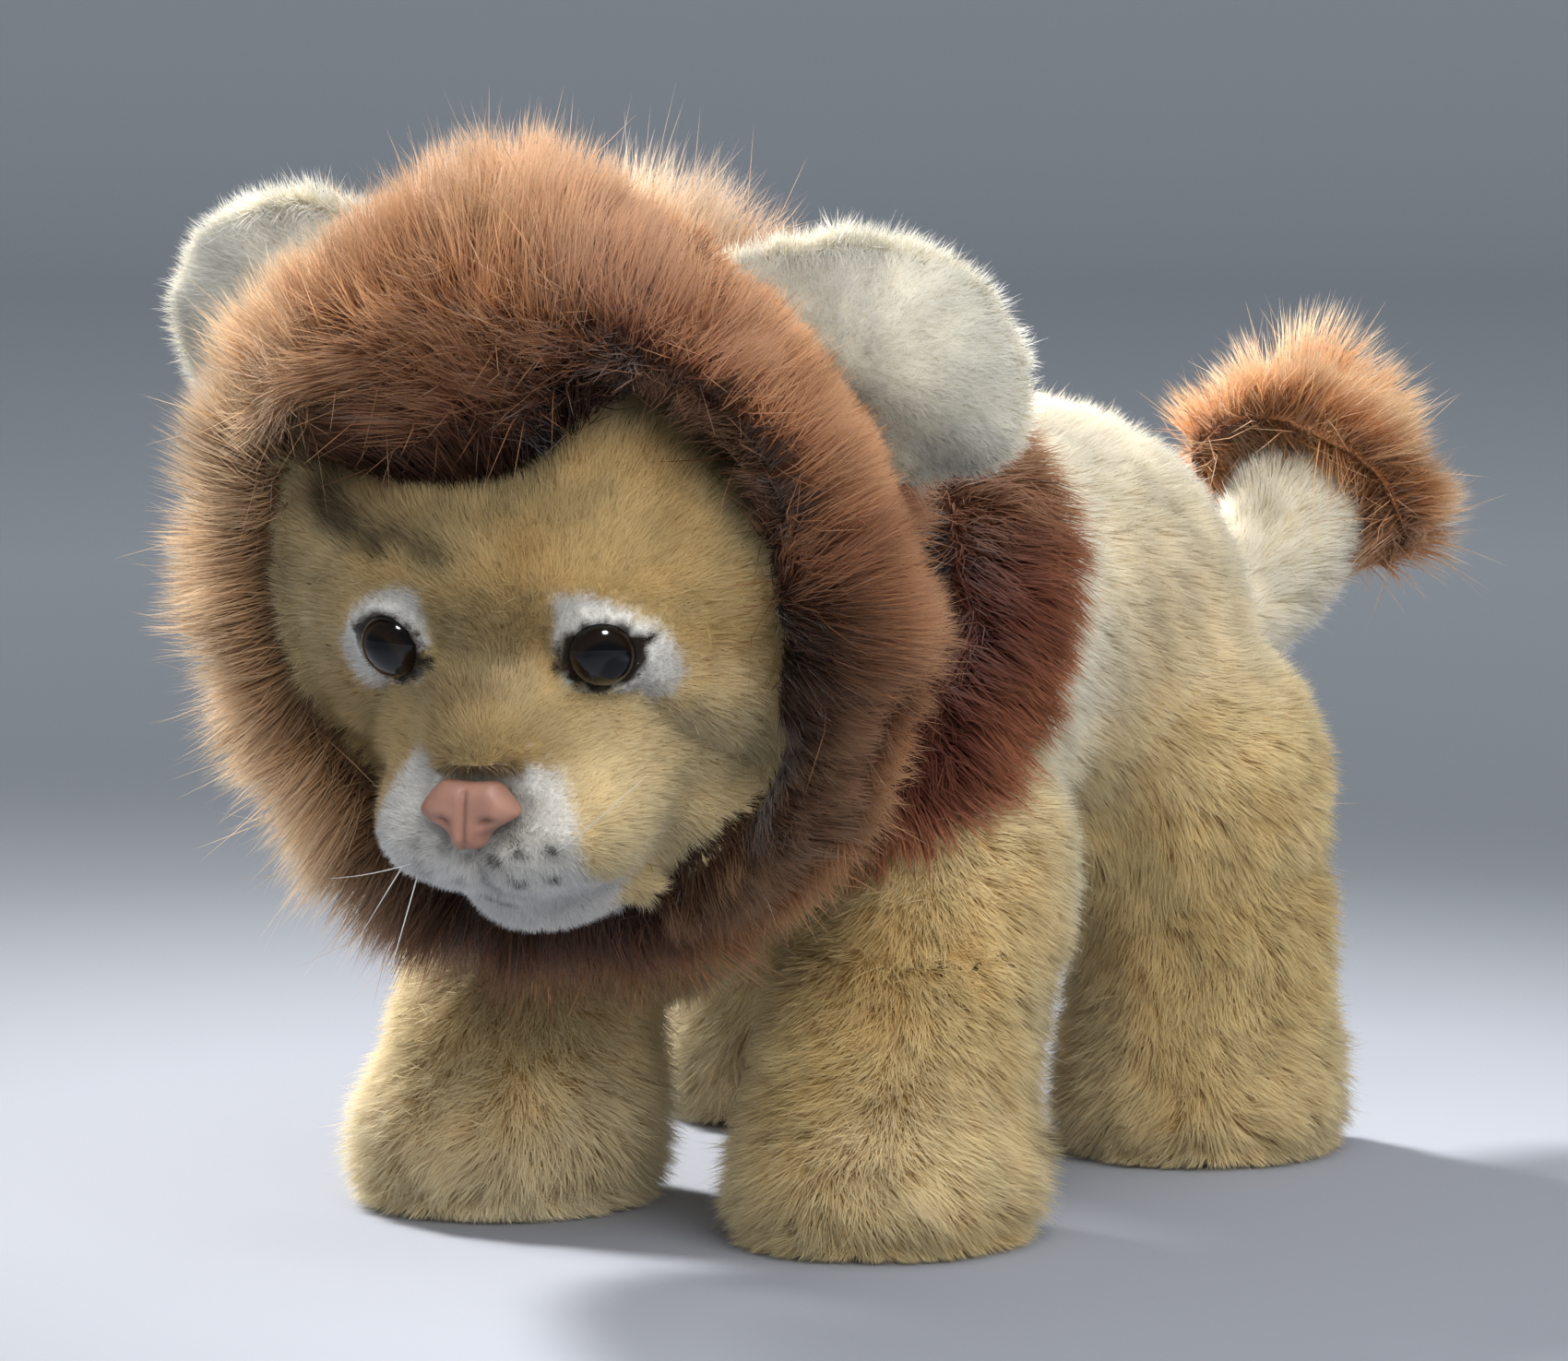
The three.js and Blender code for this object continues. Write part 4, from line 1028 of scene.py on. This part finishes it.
washer_plastic = cloudy("washer plastic", 0.45, 400, (0.62, 0.62, 0.6), (0.8, 0.8, 0.78))
for n in ("eye_washer_left", "eye_washer_right", "nose_washer"):
    nodes[n].data.materials.clear()
    nodes[n].data.materials.append(washer_plastic)

# The nose: one moulded piece of matte pink-brown vinyl, with a groove down its middle and a notch at each nostril.
# It is narrowed to the width that shows between the full muzzle halves, and stands on them.
nose_vinyl, tree, principled = new_material("nose vinyl", Roughness=0.55, Specular_IOR_Level=0.35,
                                            Subsurface_Weight=0.1, Subsurface_Scale=0.002)
bump = add_node(tree, "Bump", Distance=0.00008, Strength=0.4, Height=noise(tree, 1800))
wire(principled, Normal=bump.outputs["Normal"],
     Base_Color=ramp(tree, noise(tree, 160), (0.35, rgb(136, 99, 85)), (0.65, rgb(155, 116, 100))))


def nose_depth(co, normal):
    """Groove and nostrils on the front only."""
    x, _, z = in_head(co)
    front = smooth(0.2, 0.7, (normal @ head_axes) @ np.array([0, -1, 0]))
    nostril = bell(np.hypot((np.abs(x) - 3.6) / 1.3, (z + 15.6) / 0.8), 1)
    return front * (0.7 * bell(x, 0.5) + 1.3 * nostril) - 0.1


nose = cover("nose_vinyl", nose_vinyl, ["nose"], 0.35, 22, nose_depth)
x, ahead, z = in_head(read(nose.data, "vertices", "co"))
out = smooth(30, 38, ahead)
narrow = 0.10 * out + 0.22 * bell(z + 17.4, 1.6) * smooth(0.5, 3, np.abs(x))
sunk = 0.10 * (z + 14.5) + 0.05 * np.maximum(np.abs(x) - 3, 0) ** 2
shift(nose.data, (np.stack([-(x * narrow + 0.6 * out), -1.5 * out, -sunk * out], 1) * MM) @ head_axes.T)
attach(nose, "head")
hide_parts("nose")

# The whiskers: stiff clear nylon bristles knotted into the muzzle: three on the right, one on the left. Each is a
# tapering tube along a curve, given by its place on the muzzle and by the ways its middle and its end reach from there.
bristle = cloudy("clear bristle", 0.25, 300, (0.7, 0.68, 0.62), (0.9, 0.9, 0.88))
head_tree = tree_of(head.data)
last = 12
for side, rows in (("right", (((-11.5, -24), (-5, 1, -7), (-11, -4, -15)), ((-10.5, -26), (-3, 3, -9), (-8, 2, -20)),
                              ((-9, -23.5), (-8, 0, -3), (-17, -6, -7)))),
                   ("left", (((9.7, -21.3), (6, 4, 5), (16, 3, 14)),))):
    bm = bmesh.new()
    for (x, z), first, second in rows:
        hit = head_tree.ray_cast(Vector(out_of_head(x, 60, z)), Vector(head_axes @ np.array([0, 1, 0])))[0]
        base = np.array(hit) if hit is not None else out_of_head(x, 40, z)
        p1, p2 = head_way(*first), head_way(*second)
        points = [Vector(base + p1 * 2 * t * (1 - t) + p2 * t * t) for t in np.linspace(0, 1, last + 1)]
        ring = None
        for i, p in enumerate(points):
            way = (points[min(i + 1, last)] - points[max(i - 1, 0)]).normalized()
            turn = way.to_track_quat("Z", "Y").to_matrix().to_4x4()
            made = bmesh.ops.create_circle(bm, segments=5, radius=(0.11 - 0.09 * i / last) * MM,
                                           matrix=Matrix.Translation(p) @ turn)
            edges = list({e for v in made["verts"] for e in v.link_edges})
            if ring:
                bmesh.ops.bridge_loops(bm, edges=ring + edges)
            ring = edges
    bmesh.ops.holes_fill(bm, edges=[e for e in bm.edges if e.is_boundary], sides=0)
    bmesh.ops.recalc_face_normals(bm, faces=bm.faces)
    whiskers = smooth_object(f"whiskers_{side}", bm)
    whiskers.data.materials.append(bristle)
    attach(whiskers, "head")

# The studio: a pale sweep of paper, painted paler close to the lion as a pool of light, darkest about a third of a
# metre out and lighter again beyond; a strong spot behind and above that lights the pile's edges, a weaker one below it
# for the mane's rim, weak soft lights in front and on top, and a small lamp that gives the eyes their spark.
flat_run, bend_radius = 4.5, 0.9
bm = bmesh.new()
bmesh.ops.create_grid(bm, x_segments=1, y_segments=40, size=1)
for v in bm.verts:
    run = (v.co.y + 1) * 4
    past = max(0.0, run - flat_run)
    angle = min(past / bend_radius, math.pi / 2)
    v.co.x *= 4
    v.co.y = -2.0 + min(run, flat_run) + bend_radius * math.sin(angle)
    v.co.z = bend_radius * (1 - math.cos(angle)) + max(0.0, past - bend_radius * math.pi / 2) * 3
bmesh.ops.recalc_face_normals(bm, faces=bm.faces)
bmesh.ops.transform(bm, matrix=Matrix.Rotation(view_side, 4, "Z"), verts=bm.verts)
sweep = smooth_object("sweep", bm)
paper, tree, principled = new_material("paper", Roughness=0.8)
away = add_node(tree, "VectorMath")
away.operation = "LENGTH"
tree.links.new(add_node(tree, "TexCoord").outputs["Object"], away.inputs[0])
# Painted pool of light: the paper is paler close to the lion.
wire(principled, Base_Color=ramp(tree, away.outputs["Value"], (0.14, (0.245, 0.262, 0.305)),
                                 (0.34, (0.190, 0.207, 0.229)), (1.0, (0.30, 0.325, 0.355))))
sweep.data.materials.append(paper)
flat_back = unit(np.array([backward[0], backward[1], 0]))
for name, kind, way, distance, size, watts, colour in (
        ("back light", "SPOT", (-0.8, -1.0, 1.0), 2.2, 0.16, 520, (1, 0.98, 0.95)),
        ("rim light", "SPOT", (-0.8, -1.0, 0.55), 2.0, 0.14, 95, (1, 0.98, 0.95)),
        ("front light", "AREA", (0.4, 1.0, 0.75), 1.6, 1.4, 23, (1, 0.97, 0.92)),
        ("top light", "AREA", (0.2, 0.1, 1.6), 1.5, 1.0, 6, (1, 1, 1)),
        ("eye lamp", "AREA", (0.1, 0.6, 0.92), 0.6, 0.14, 4.5, (1, 1, 1))):
    lamp = bpy.data.lights.new(name, kind)
    lamp.energy, lamp.color = watts, colour
    if kind == "SPOT":
        lamp.shadow_soft_size, lamp.spot_size, lamp.spot_blend = size, math.radians(17), 1.0
    else:
        lamp.shape, lamp.size = "DISK", size
    direction = unit(right * way[0] + flat_back * way[1] + np.array([0, 0, way[2]]))
    obj = aimed(name, lamp, direction, distance)
    obj.visible_glossy = kind == "SPOT" or name == "eye lamp"
    obj.visible_diffuse = obj.visible_transmission = name != "eye lamp"
world = bpy.data.worlds.new("room")
bpy.context.scene.world = world
world.use_nodes = True
tree = world.node_tree
dim = add_node(tree, "MapRange", Value=add_node(tree, "LightPath").outputs["Is Glossy Ray"], To_Min=1.35, To_Max=0.25)
wire(tree.nodes["Background"], Color=(0.50, 0.52, 0.55, 1), Strength=dim.outputs["Result"])
bpy.context.scene.view_settings.view_transform = "Standard"
